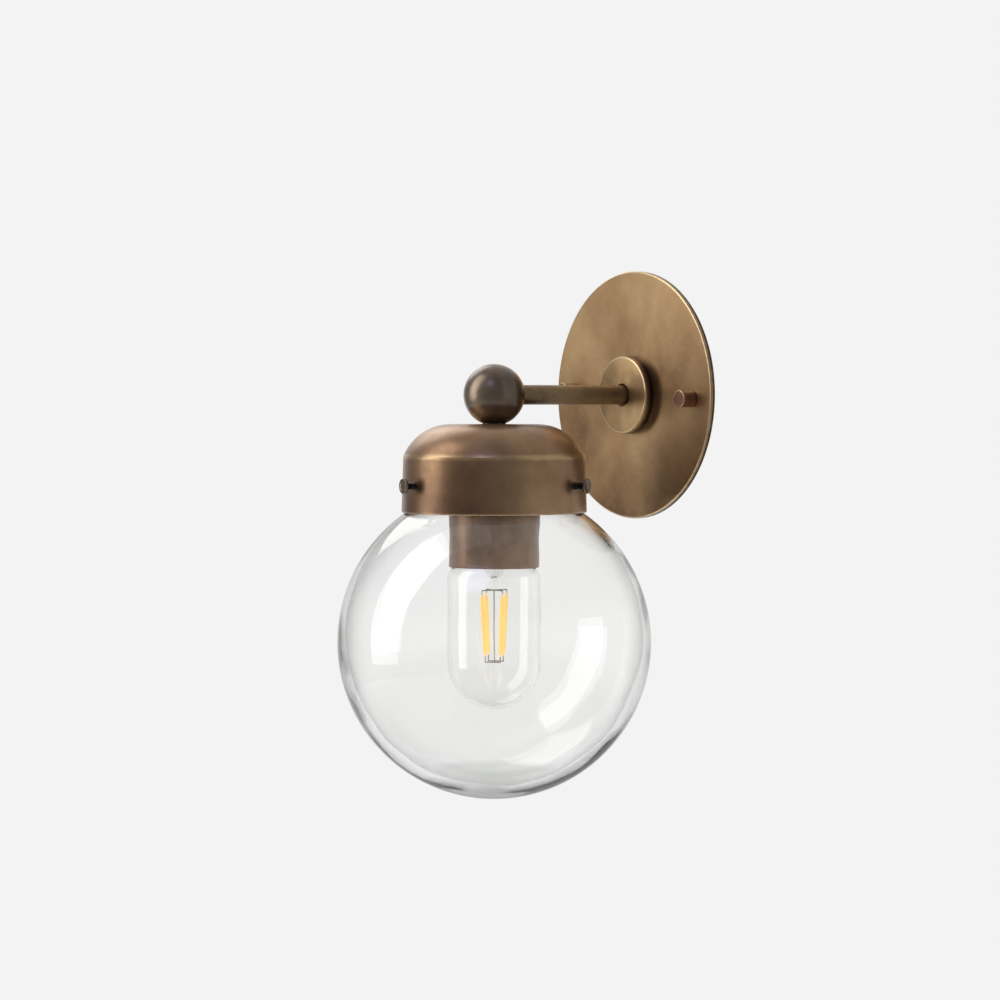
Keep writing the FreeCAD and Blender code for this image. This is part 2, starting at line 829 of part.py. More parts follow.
def lamp_wires():
    """The wires: a cross under the stem to the filaments' tops, the centre wire, and a link under each
    pair."""
    radius = value("lamp_wire_diameter / 2")
    cross_z = -value("stem_drop")
    link_z = -value("filament_top + filament_length + 2.8")
    hub = FreeCAD.Vector(0, 0, cross_z - radius)
    foot = FreeCAD.Vector(0, 0, link_z)
    bars = [rod_between(hub, foot, radius)]
    ends = [filament_ends(step) for step in range(4)]
    for top, bottom in ends:
        elbow = FreeCAD.Vector(top.x, top.y, hub.z)
        above = FreeCAD.Vector(top.x, top.y, top.z + value("thread_gap"))
        bars.append(rod_between(hub, elbow, radius))
        bars.append(rod_between(elbow, above, radius))
        bars.append(Part.makeSphere(radius, elbow))
    feet = [FreeCAD.Vector(bottom.x, bottom.y, link_z) for top, bottom in ends]
    for (top, bottom), low in zip(ends, feet):
        below = FreeCAD.Vector(bottom.x, bottom.y, bottom.z - value("thread_gap"))
        bars.append(rod_between(below, low, radius))
        bars.append(Part.makeSphere(radius, low))
    bars.append(rod_between(feet[0], feet[3], radius))
    bars.append(rod_between(feet[1], feet[2], radius))
    bars.append(rod_between(foot, (feet[0] + feet[3]) / 2, radius))
    frame = bars[0].multiFuse(bars[1:])
    group = doc.addObject("Part::Feature", "lamp_wires")
    group.Shape = frame
    place_on_lamp_axis(finish(group, "lamp_wires"))


def lamp_driver():
    """The small driver board that stands in the screw cap, with its capacitor."""
    top = "lamp_tip - tip_height - insulator_height - running_gap"
    width = "driver_width / 2"
    board = block(
        "driver_board_plate",
        ("-" + width, "-arm_reach - driver_board / 2", top + " - driver_height"),
        (width, "-arm_reach + driver_board / 2", top),
    )
    base = ("0", "-arm_reach - driver_board / 2", top + " - driver_height / 2")
    capacitor = cylinder("driver_capacitor", "driver_height / 4", "driver_width / 3", base, (0, -1, 0))
    finish(joined("lamp_driver", [board, capacitor]), "lamp_driver")


# Bars, studs and knob nuts


def bar_blank(name, length, width, upright, front):
    """A flat bar with round ends, from its front face back into the wall."""
    half, side = "(" + length + ") / 2 - (" + width + ") / 2", "(" + width + ") / 2"
    if upright:
        middle = block(
            name + "_middle", ("-" + side, front, "-(" + half + ")"), (side, front + " + bar_sheet", half),
        )
        ends = [("0", front, half), ("0", front, "-(" + half + ")")]
    else:
        middle = block(
            name + "_middle", ("-(" + half + ")", front, "-" + side), (half, front + " + bar_sheet", side),
        )
        ends = [(half, front, "0"), ("-(" + half + ")", front, "0")]
    rounds = [
        cylinder("%s_end_%d" % (name, i), side, "bar_sheet", end, (0, 1, 0))
        for i, end in enumerate(ends)
    ]
    return joined(name + "_blank", [middle] + rounds)


def slot_tool(name, centre):
    """A cutter for one upright slot in the box bar."""
    half = "slot_length / 2 - slot_width / 2"
    side = "slot_width / 2"
    middle = block(
        name + "_middle",
        ("-" + side, "box_bar_front", centre + " - (" + half + ")"),
        (side, "box_bar_back", centre + " + (" + half + ")"),
    )
    rounds = [
        cylinder(
            name + end,
            side,
            "bar_sheet",
            ("0", "box_bar_front", centre + sign + "(" + half + ")"),
            (0, 1, 0),
        )
        for end, sign in (("_high", " + "), ("_low", " - "))
    ]
    return joined(name, [middle] + rounds)


def box_bar():
    """The upright bar that two screws hold to the wall box, through a slot at each end."""
    blank = bar_blank("box_bar", "box_bar_length", "box_bar_width", True, "box_bar_front")
    tools = [
        slot_tool("slot_above", "box_screw_spacing / 2"),
        slot_tool("slot_below", "-box_screw_spacing / 2"),
        cylinder(
            "box_bar_eye",
            "eyelet_bore / 2 + eyelet_wall",
            "bar_sheet",
            ("0", "box_bar_front", "0"),
            (0, 1, 0),
        ),
        cylinder(
            "box_bar_earth",
            "earth_shank_diameter / 2 + thread_gap",
            "bar_sheet",
            ("0", "box_bar_front", "earth_screw_height"),
            (0, 1, 0),
        ),
        cylinder(
            "box_bar_block",
            "block_screw_diameter / 2 + thread_gap",
            "bar_sheet",
            ("0", "box_bar_front", "-block_drop - block_height / 2"),
            (0, 1, 0),
        ),
    ]
    finish(cut("box_bar", blank, tools), "box_bar")


def stud_bar():
    """The bar that carries the studs. It is turned by the tilt at which the plate was hung."""
    blank = bar_blank("stud_bar", "stud_spacing + 2 * bar_margin", "stud_bar_width", False, "bar_recess")
    tools = [
        cylinder(
            "stud_bar_eye",
            "eyelet_bore / 2 + eyelet_wall",
            "bar_sheet",
            ("0", "bar_recess", "0"),
            (0, 1, 0),
        ),
    ]
    for name, side in (("left", "-"), ("right", "")):
        hole = (side + "stud_spacing / 2", "bar_recess", "0")
        tools.append(
            cylinder(
                "stud_bar_hole_" + name, "stud_diameter / 2 + thread_gap", "bar_sheet", hole, (0, 1, 0),
            ),
        )
    bar = finish(cut("stud_bar", blank, tools), "stud_bar")
    bar.Placement = FreeCAD.Placement(
        FreeCAD.Vector(), FreeCAD.Rotation(FreeCAD.Vector(0, 1, 0), value("hang_tilt"))
    )
    bar.setExpression("Placement.Rotation.Angle", bound("hang_tilt"))


def bar_eyelet():
    """The hollow rivet that joins the two bars and lets the leads through."""
    bore, barrel = "eyelet_bore / 2", "eyelet_bore / 2 + eyelet_wall"
    flange = "eyelet_flange_diameter / 2"
    front, back = "-bar_recess", "-box_bar_back"
    body = turned(
        "bar_eyelet",
        [
            (bore, front + " + eyelet_wall / 2"),
            (bore, back + " - eyelet_wall / 2"),
            (flange, back + " - eyelet_wall / 2"),
            (flange, back),
            (barrel, back),
            (barrel, front),
            (flange, front),
            (flange, front + " + eyelet_wall / 2"),
        ],
    )
    place_on_wall_axis(body)


def on_studs(node, maker):
    """Two like pieces on the studs' line, as separate solids in one node, turned by the tilt."""
    pair = doc.addObject("Part::Compound", node)
    pair.Links = [
        maker(node + "_" + name, side + "stud_spacing / 2")
        for name, side in (("left", "-"), ("right", ""))
    ]
    finish(pair, node)
    pair.Placement = FreeCAD.Placement(
        FreeCAD.Vector(), FreeCAD.Rotation(FreeCAD.Vector(0, 1, 0), value("hang_tilt"))
    )
    pair.setExpression("Placement.Rotation.Angle", bound("hang_tilt"))


def stud(name, across):
    back = "box_bar_back - bar_sheet + running_gap"
    return cylinder(
        name,
        "stud_diameter / 2",
        back + " + plate_depth + stud_reach",
        (across, back, "0"),
        (0, -1, 0),
    )


def stud_nut(name, across):
    prism = hexagon(
        name + "_hexagon", "stud_nut_across_flats", "stud_nut_height", (across, "bar_recess", "0"),
    )
    prism.Placement.Rotation = FreeCAD.Rotation(FreeCAD.Vector(1, 0, 0), 90)
    bore = "stud_diameter / 2 + thread_gap"
    hole = cylinder(name + "_hole", bore, "stud_nut_height", (across, "bar_recess", "0"), (0, -1, 0))
    return cut(name, prism, [hole])


def knob_nut(node, side):
    """A round brass nut with a thin flange and a dished face, bored blind for its stud."""
    body_r, head_r = "knob_diameter / 2", "knob_head_diameter / 2"
    seat = "plate_depth + running_gap"
    under, face = seat + " + knob_length", seat + " + knob_length + knob_head_height"
    bore, bore_end = "stud_diameter / 2 + 2 * thread_gap", seat + " + knob_bore_depth"
    rounding = "knob_head_height / 3"
    body = turned(
        node,
        [
            ("0", bore_end),
            (bore, bore_end),
            (bore, seat),
            (body_r, seat),
            (body_r, under),
            (head_r + " - " + rounding, under),
            (head_r, under + " + " + rounding, rounding, 1),
            (head_r, face + " - " + rounding),
            (head_r + " - " + rounding, face, rounding, 1),
            ("knob_dish_diameter / 2", face),
            ("knob_dish_diameter / 2", face + " - knob_dish_depth"),
            ("0", face + " - knob_dish_depth"),
        ],
    )
    place_on_wall_axis(body)
    body.setExpression("Placement.Base.x", bound(side + "stud_spacing / 2 * cos(hang_tilt)"))
    body.setExpression("Placement.Base.z", bound(side + "-stud_spacing / 2 * sin(hang_tilt)"))


# Supply side


def earth_screw():
    """The earthing screw on the box bar."""
    front = "box_bar_front - earth_head_height"
    head = cylinder(
        "earth_head",
        "earth_head_diameter / 2",
        "earth_head_height",
        ("0", front, "earth_screw_height"),
        (0, 1, 0),
    )
    shank = cylinder(
        "earth_shank",
        "earth_shank_diameter / 2",
        "3 * bar_sheet",
        ("0", "box_bar_front", "earth_screw_height"),
        (0, 1, 0),
    )
    recess = cylinder(
        "earth_recess",
        "earth_shank_diameter / 4",
        "earth_head_height / 2",
        ("0", front, "earth_screw_height"),
        (0, 1, 0),
    )
    finish(cut("earth_screw", joined("earth_screw_blank", [head, shank]), [recess]), "earth_screw")


def terminal_block():
    """The block where the leads meet the house wiring, held behind the box bar by one screw."""
    half = "block_width / 2"
    middle = "-block_drop - block_height / 2"
    case = block(
        "terminal_case",
        ("-" + half, "block_front", "-block_drop - block_height"),
        (half, "block_front + block_depth", "-block_drop"),
    )
    lane = "block_front + block_depth * 0.64"
    tools = [
        cylinder(
            "block_screw_hole",
            "block_screw_diameter / 2 + thread_gap",
            "block_depth",
            ("0", "block_front", middle),
            (0, 1, 0),
        ),
    ]
    screws = []
    for name, side in (("live", ""), ("neutral", "-")):
        across = side + "block_pitch / 2"
        way = cylinder(
            "block_way_" + name,
            "lead_diameter / 2 + 3 * thread_gap",
            "block_height",
            (across, lane, "-block_drop - block_height"),
        )
        well = cylinder(
            "block_well_" + name, "lead_diameter", "block_depth", (across, lane, middle), (0, 1, 0),
        )
        tools += [way, well]
        base = (across, lane + " + lead_diameter / 2 + 3 * thread_gap", middle)
        screws.append(
            cylinder(
                "block_grub_" + name, "lead_diameter - 2 * thread_gap", "lead_diameter", base, (0, 1, 0),
            ),
        )
    finish(cut("terminal_block", case, tools), "terminal_block")
    fixing_head = cylinder(
        "fixing_head",
        "block_screw_diameter",
        "block_screw_diameter / 2",
        ("0", "box_bar_front - block_screw_diameter / 2", middle),
        (0, 1, 0),
    )
    fixing_shank = cylinder(
        "fixing_shank",
        "block_screw_diameter / 2",
        "bar_sheet + block_depth",
        ("0", "box_bar_front", middle),
        (0, 1, 0),
    )
    screws.append(joined("block_fixing", [fixing_head, fixing_shank]))
    group = doc.addObject("Part::Compound", "terminal_screws")
    group.Links = screws
    finish(group, "terminal_screws")


def rounded_wire(points, radii):
    """Straight runs joined by tangent arcs, one radius for each inner point."""
    edges = []
    start = points[0]
    for index, radius in enumerate(radii, 1):
        corner, after = points[index], points[index + 1]
        inward = (corner - points[index - 1]).normalize()
        outward = (after - corner).normalize()
        turn = inward.getAngle(outward)
        setback = radius * math.tan(turn / 2)
        first = corner - inward * setback
        last = corner + outward * setback
        to_centre = (outward - inward).normalize() * (radius / math.cos(turn / 2))
        middle = corner + to_centre - to_centre.normalize() * radius
        edges.append(Part.LineSegment(start, first).toShape())
        edges.append(Part.Arc(first, middle, last).toShape())
        start = last
    edges.append(Part.LineSegment(start, points[-1]).toShape())
    return Part.Wire(edges)


def lead(node, side):
    """One insulated lead, held all the way: from its post, up the nipple, through ball and arm, to the
    block."""
    across = side * value("lead_spacing") / 2
    post_x = side * value("post_spacing") / 2
    block_x = side * value("block_pitch") / 2
    axis_y = -value("arm_reach")
    lane = value("block_front + block_depth * 0.64")
    nipple_end = value("nipple_end")
    post_top = value("post_top")
    block_top = -value("block_drop")
    points = [
        FreeCAD.Vector(post_x, axis_y, post_top - value("post_height") / 2),
        FreeCAD.Vector(post_x, axis_y, post_top + 1.0),
        FreeCAD.Vector(across, axis_y, nipple_end - 1.2),
        FreeCAD.Vector(across, axis_y, 0),
        FreeCAD.Vector(across, lane, 0),
        FreeCAD.Vector(block_x, lane, block_top + 2.5),
        FreeCAD.Vector(block_x, lane, block_top - value("lead_entry")),
    ]
    bend = value("ball_chamber_diameter") / 2 - 1.0
    radii = [1.6, 1.6, bend, bend, 3.0]
    path = rounded_wire(points, radii)
    start = points[1] - points[0]
    section = Part.Wire(Part.makeCircle(value("lead_diameter") / 2, points[0], start))
    tube = path.makePipeShell([section], True, False)
    thing = doc.addObject("Part::Feature", node)
    thing.Shape = tube
    finish(thing, node)


wall_plate()
boss()
arm_tube()
arm_fixings()
ball()
hanging_fixings()
shade_cap()
for screw_name, screw_step in (
    ("shade_screw_front", 0), ("shade_screw_side", 120), ("shade_screw_rear", 240),
):
    shade_screw(screw_name, screw_step)
globe()
socket_cup()
lampholder()
centre_contact()
holder_posts()
lamp_envelope()
lamp_cap()
lamp_stem()
lamp_filaments()
lamp_wires()
lamp_driver()
box_bar()
stud_bar()
bar_eyelet()
on_studs("studs", stud)
on_studs("stud_nuts", stud_nut)
knob_nut("knob_nut_left", "-")
knob_nut("knob_nut_right", "")
earth_screw()
terminal_block()
lead("live_lead", 1)
lead("neutral_lead", -1)

doc.recompute()
for thing in doc.Objects:
    if "Invalid" in thing.State or "Error" in thing.State:
        raise RuntimeError("%s failed: %s" % (thing.Name, thing.State))
for thing in finished:
    if thing.Shape.isNull() or not thing.Shape.isValid():
        raise RuntimeError("%s has no sound shape" % thing.Label)

os.makedirs("parts", exist_ok=True)
for thing in finished:
    thing.Shape.exportStep("parts/%s.step" % thing.Label)
print("wrote %d parts" % len(finished))
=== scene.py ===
import math

import bmesh
import bpy
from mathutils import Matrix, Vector


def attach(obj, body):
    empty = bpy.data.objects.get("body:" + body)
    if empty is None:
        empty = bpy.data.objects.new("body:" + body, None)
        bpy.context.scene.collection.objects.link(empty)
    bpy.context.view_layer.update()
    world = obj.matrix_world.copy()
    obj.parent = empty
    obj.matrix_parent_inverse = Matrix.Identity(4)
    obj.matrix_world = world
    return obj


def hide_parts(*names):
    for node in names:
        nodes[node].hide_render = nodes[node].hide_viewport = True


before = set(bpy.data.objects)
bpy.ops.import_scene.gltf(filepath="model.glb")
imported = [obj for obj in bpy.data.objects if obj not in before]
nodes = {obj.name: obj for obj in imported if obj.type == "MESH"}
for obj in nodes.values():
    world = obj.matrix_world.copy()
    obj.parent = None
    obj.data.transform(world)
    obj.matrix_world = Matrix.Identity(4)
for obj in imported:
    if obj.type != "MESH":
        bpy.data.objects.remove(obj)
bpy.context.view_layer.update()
print("frame loaded:", len(nodes), "nodes")

mm = 0.001
lampY = -0.0864   # the lamp axis stands this far out from the wall


def clearSelection():
    if bpy.context.object and bpy.context.object.mode != "OBJECT":
        bpy.ops.object.mode_set(mode="OBJECT")
    bpy.ops.object.select_all(action="DESELECT")


def pickOnly(obj):
    clearSelection()
    obj.select_set(True)
    bpy.context.view_layer.objects.active = obj


def applyModifiers(obj):
    pickOnly(obj)
    for modifier in list(obj.modifiers):
        bpy.ops.object.modifier_apply(modifier=modifier.name)


# merges doubles, points the faces outwards, smooths, and puts the place into the mesh
def tidyShell(obj, smoothAngle=35):
    pickOnly(obj)
    bpy.ops.object.mode_set(mode="EDIT")
    bpy.ops.mesh.select_all(action="SELECT")
    bpy.ops.mesh.remove_doubles(threshold=2e-6)
    bpy.ops.mesh.normals_make_consistent(inside=False)
    bpy.ops.object.mode_set(mode="OBJECT")
    bpy.ops.object.transform_apply(location=True, rotation=True, scale=True)
    bpy.ops.object.shade_smooth_by_angle(angle=math.radians(smoothAngle))


# gives a finished piece its material and its body, and hides the CAD nodes it stands for
def onBody(obj, body, material, *replaced):
    obj.data.materials.clear()
    obj.data.materials.append(material)
    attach(obj, body)
    if replaced:
        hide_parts(*replaced)
    return obj


# three ways a piece can be turned: up the lamp axis, out from the wall, or out along one of the side screws
axes = {
    "lamp": (Vector((0, lampY, 0)), Vector((0, 0, 1))),
    "wall": (Vector((0, 0, 0)), Vector((0, -1, 0))),
}


# turns a profile of (radius, height) rings in mm by extruding a circle ring by ring from its widest place
def turnShape(name, profile, axis="lamp", segments=128, closed=False, smoothAngle=35):
    base, along = axes[axis]
    rings = profile + [profile[0]] if closed else profile
    widest = max(range(len(rings)), key=lambda i: rings[i][0])
    clearSelection()
    bpy.ops.mesh.primitive_circle_add(
        vertices=segments, radius=rings[widest][0] * mm, location=base + along * rings[widest][1] * mm,
        rotation=Vector((0, 0, 1)).rotation_difference(along).to_euler(),
    )
    obj = bpy.context.object
    obj.name = name
    obj.data.name = name
    bpy.ops.object.mode_set(mode="EDIT")
    for run in (rings[widest:], rings[: widest + 1][::-1]):
        mesh = bmesh.from_edit_mesh(obj.data)
        mesh.verts.index_update()
        for edge in mesh.edges:
            edge.select = False
        for edge in mesh.edges:
            if all(v.index < segments for v in edge.verts):
                edge.select = True
        bmesh.update_edit_mesh(obj.data)
        for (oldRadius, oldHeight), (newRadius, newHeight) in zip(run, run[1:]):
            bpy.ops.mesh.extrude_region_move(
                TRANSFORM_OT_translate={"value": along * (newHeight - oldHeight) * mm}
            )
            if abs(newRadius - oldRadius) > 1e-9:
                bpy.ops.transform.resize(
                    value=(newRadius / oldRadius,) * 3, center_override=base + along * newHeight * mm
                )
    bpy.ops.object.mode_set(mode="OBJECT")
    tidyShell(obj, smoothAngle)
    return obj


# rings along an arc of the profile. The angle is 0 straight out and 90 straight up
def arcRings(centreR, centreH, radius, startAngle, endAngle, steps):
    rings = []
    for step in range(steps + 1):
        angle = math.radians(startAngle + (endAngle - startAngle) * step / steps)
        rings.append((max(centreR + radius * math.cos(angle), 0), centreH + radius * math.sin(angle)))
    return rings


# ridges of a screw thread, as rings with flat crests and roots
def threadRings(crest, depth, startH, endH, pitch):
    count = max(int(abs(endH - startH) / pitch), 1)
    stride = (endH - startH) / count
    rings = []
    for turn in range(count):
        low = startH + stride * turn
        rings += [(crest - depth, low), (crest - depth, low + 0.12 * stride), (crest, low + 0.45 * stride),
                  (crest, low + 0.62 * stride), (crest - depth, low + 0.95 * stride)]
    return rings


def cutWith(obj, tools, operation="DIFFERENCE"):
    for tool in tools:
        modifier = obj.modifiers.new("cut", "BOOLEAN")
        modifier.operation = operation
        modifier.solver = "EXACT"
        modifier.object = tool
        applyModifiers(obj)
        bpy.data.objects.remove(tool, do_unlink=True)
    return obj


# a cylinder that cuts a hole; its place is its middle, in mm
def roundTool(radius, length, location, direction, vertices=48):
    clearSelection()
    bpy.ops.mesh.primitive_cylinder_add(
        vertices=vertices, radius=radius * mm, depth=length * mm, location=Vector(location) * mm,
        rotation=Vector((0, 0, 1)).rotation_difference(Vector(direction)).to_euler(),
    )
    return bpy.context.object


# a colour as it is seen, 0 to 255, in the units that nodes use
def srgb(red, green, blue):
    values = [c / 255 for c in (red, green, blue)]
    return tuple(c / 12.92 if c <= 0.04045 else ((c + 0.055) / 1.055) ** 2.4 for c in values) + (1.0,)


def addNode(tree, kind, x=0, y=0, **settings):
    node = tree.nodes.new(kind)
    node.location = (x, y)
    for key, value in settings.items():
        setattr(node, key, value)
    return node


def noiseNode(tree, vector, scale, detail=4.0, roughness=0.55):
    noise = addNode(tree, "ShaderNodeTexNoise")
    noise.inputs["Scale"].default_value = scale
    noise.inputs["Detail"].default_value = detail
    noise.inputs["Roughness"].default_value = roughness
    tree.links.new(vector, noise.inputs["Vector"])
    return noise


# stretches a value so that low becomes 0 and high becomes 1
def rampNode(tree, value, low, high):
    ramp = addNode(tree, "ShaderNodeMapRange")
    ramp.inputs["From Min"].default_value = low
    ramp.inputs["From Max"].default_value = high
    tree.links.new(value, ramp.inputs["Value"])
    return ramp.outputs["Result"]


def mathNode(tree, operation, first, second):
    node = addNode(tree, "ShaderNodeMath", operation=operation)
    for socket, value in zip(node.inputs, (first, second)):
        if isinstance(value, (int, float)):
            socket.default_value = value
        else:
            tree.links.new(value, socket)
    return node.outputs[0]


def mixColours(tree, factor, first, second, blend="MIX"):
    node = addNode(tree, "ShaderNodeMix", data_type="RGBA", blend_type=blend)
    for socket, value in zip(
        (node.inputs["Factor"], node.inputs[6], node.inputs[7]), (factor, first, second),
    ):
        if isinstance(value, (int, float, tuple)):
            socket.default_value = value
        else:
            tree.links.new(value, socket)
    return node.outputs[2]


def newGroup(name, inputs, outputs):
    group = bpy.data.node_groups.new(name, "ShaderNodeTree")
    for label, kind, default in inputs:
        socket = group.interface.new_socket(name=label, in_out="INPUT", socket_type=kind)
        if default is not None:
            socket.default_value = default
    for label, kind in outputs:
        group.interface.new_socket(name=label, in_out="OUTPUT", socket_type=kind)
    return group, addNode(group, "NodeGroupInput", -900), addNode(group, "NodeGroupOutput", 900)


def buildAgedMetalGroup():
    group, given, result = newGroup(
        "agedMetal",
        [
            ("Vector", "NodeSocketVector", None),
            ("Light", "NodeSocketColor", srgb(176, 140, 98)),
            ("Middle", "NodeSocketColor", srgb(140, 104, 68)),
            ("Dark", "NodeSocketColor", srgb(86, 58, 38)),
            ("Cloud Scale", "NodeSocketFloat", 30.0),
            ("Mottle Scale", "NodeSocketFloat", 190.0),
            ("Mottle", "NodeSocketFloat", 0.2),
            ("Shift", "NodeSocketFloat", 0.0),
            ("Specks", "NodeSocketFloat", 0.5),
        ],
        [("Color", "NodeSocketColor"), ("Roughness", "NodeSocketFloat"), ("Height", "NodeSocketFloat")],
    )
    vector = given.outputs["Vector"]
    clouds = noiseNode(group, vector, 30, 3, 0.5)
    group.links.new(given.outputs["Cloud Scale"], clouds.inputs["Scale"])
    mottle = noiseNode(group, vector, 190, 8, 0.68)
    group.links.new(given.outputs["Mottle Scale"], mottle.inputs["Scale"])
    specks = noiseNode(group, vector, 1500, 3, 0.6)
    cloudMask = rampNode(group, clouds.outputs["Fac"], 0.34, 0.66)
    mottleMask = rampNode(group, mottle.outputs["Fac"], 0.36, 0.66)
    speckMask = rampNode(group, specks.outputs["Fac"], 0.60, 0.74)
    mottlePart = mathNode(
        group, "MULTIPLY", mathNode(group, "SUBTRACT", mottleMask, cloudMask), given.outputs["Mottle"],
    )
    both = mathNode(group, "ADD", mathNode(group, "ADD", cloudMask, mottlePart), given.outputs["Shift"])
    colour = mixColours(
        group, rampNode(group, both, 0.0, 0.5), given.outputs["Dark"], given.outputs["Middle"],
    )
    colour = mixColours(group, rampNode(group, both, 0.5, 1.0), colour, given.outputs["Light"])
    speckAmount = mathNode(group, "MULTIPLY", speckMask, given.outputs["Specks"])
    colour = mixColours(group, speckAmount, colour, given.outputs["Dark"])
    group.links.new(colour, result.inputs["Color"])
    rough = mathNode(
        group,
        "ADD",
        mathNode(group, "MULTIPLY", mottleMask, -0.06),
        mathNode(group, "MULTIPLY", speckAmount, 0.12),
    )
    group.links.new(rough, result.inputs["Roughness"])
    height = mathNode(
        group,
        "ADD",
        mathNode(group, "MULTIPLY", mottle.outputs["Fac"], 0.6),
        mathNode(group, "MULTIPLY", specks.outputs["Fac"], 0.4),
    )
    group.links.new(height, result.inputs["Height"])
    return group


def radiusAndHeight(group, vector):
    flat = addNode(group, "ShaderNodeVectorMath", operation="MULTIPLY")
    flat.inputs[1].default_value = (1, 1, 0)
    group.links.new(vector, flat.inputs[0])
    length = addNode(group, "ShaderNodeVectorMath", operation="LENGTH")
    group.links.new(flat.outputs[0], length.inputs[0])
    parts = addNode(group, "ShaderNodeSeparateXYZ")
    group.links.new(vector, parts.inputs[0])
    return length.outputs["Value"], parts.outputs["Z"]


def buildWearShadeAndHighlightBandGroup():
    group, given, result = newGroup(
        "wearShadeAndHighlightBand",
        [("Vector", "NodeSocketVector", None), ("By Radius", "NodeSocketFloat", 0.0),
         ("Centre", "NodeSocketFloat", 0.0), ("Width", "NodeSocketFloat", 0.001)],
        [("Mask", "NodeSocketFloat")],
    )
    radius, height = radiusAndHeight(group, given.outputs["Vector"])
    # a band near a height or a radius, carrying painted shade, painted highlight and wear alike
    byRadius = mathNode(
        group, "MULTIPLY", mathNode(group, "SUBTRACT", radius, height), given.outputs["By Radius"],
    )
    measured = mathNode(group, "ADD", height, byRadius)
    away = mathNode(group, "ABSOLUTE", mathNode(group, "SUBTRACT", measured, given.outputs["Centre"]), 0.0)
    nearness = mathNode(group, "SUBTRACT", 1.0, mathNode(group, "DIVIDE", away, given.outputs["Width"]))
    wander = noiseNode(group, given.outputs["Vector"], 240, 5, 0.65)
    raggedNearness = mathNode(group, "ADD", nearness, mathNode(group, "MULTIPLY", wander.outputs["Fac"], 0.7))
    group.links.new(rampNode(group, raggedNearness, 0.45, 1.15), result.inputs["Mask"])
    return group


def buildTurnedLinesGroup():
    group, given, result = newGroup(
        "turnedLines",
        [("Vector", "NodeSocketVector", None), ("Scale", "NodeSocketFloat", 900.0)],
        [("Height", "NodeSocketFloat")],
    )
    radius, height = radiusAndHeight(group, given.outputs["Vector"])
    joined = addNode(group, "ShaderNodeCombineXYZ")
    group.links.new(radius, joined.inputs["X"])
    group.links.new(height, joined.inputs["Z"])
    lines = noiseNode(group, joined.outputs[0], 900, 5, 0.7)
    group.links.new(given.outputs["Scale"], lines.inputs["Scale"])
    group.links.new(lines.outputs["Fac"], result.inputs["Height"])
    return group


agedMetal = buildAgedMetalGroup()
turnedLines = buildTurnedLinesGroup()
wearShadeAndHighlightBand = buildWearShadeAndHighlightBandGroup()


def newMaterial(name):
    material = bpy.data.materials.new(name)
    material.use_nodes = True
    tree = material.node_tree
    return material, tree, tree.nodes["Principled BSDF"]


# object coordinates; for a turned piece they are centred on its axis, with z along it
def objectVector(tree, axis=None):
    coordinate = addNode(tree, "ShaderNodeTexCoord", -1400)
    if axis is None:
        return coordinate.outputs["Object"]
    mapping = addNode(tree, "ShaderNodeMapping", -1200, vector_type="POINT")
    if axis == "lamp":
        mapping.inputs["Location"].default_value = (0, -lampY, 0)
    else:
        mapping.inputs["Rotation"].default_value = (math.radians(-90), 0, 0)
    tree.links.new(coordinate.outputs["Object"], mapping.inputs["Vector"])
    return mapping.outputs[0]


# stacks heights, each with a strength and a depth in metres, into the shader's normal
def bumpFrom(tree, shader, heights):
    normal = None
    for height, strength, distance in heights:
        bump = addNode(tree, "ShaderNodeBump")
        bump.inputs["Strength"].default_value = strength
        bump.inputs["Distance"].default_value = distance
        tree.links.new(height, bump.inputs["Height"])
        if normal is not None:
            tree.links.new(normal, bump.inputs["Normal"])
        normal = bump.outputs["Normal"]
    tree.links.new(normal, shader.inputs["Normal"])


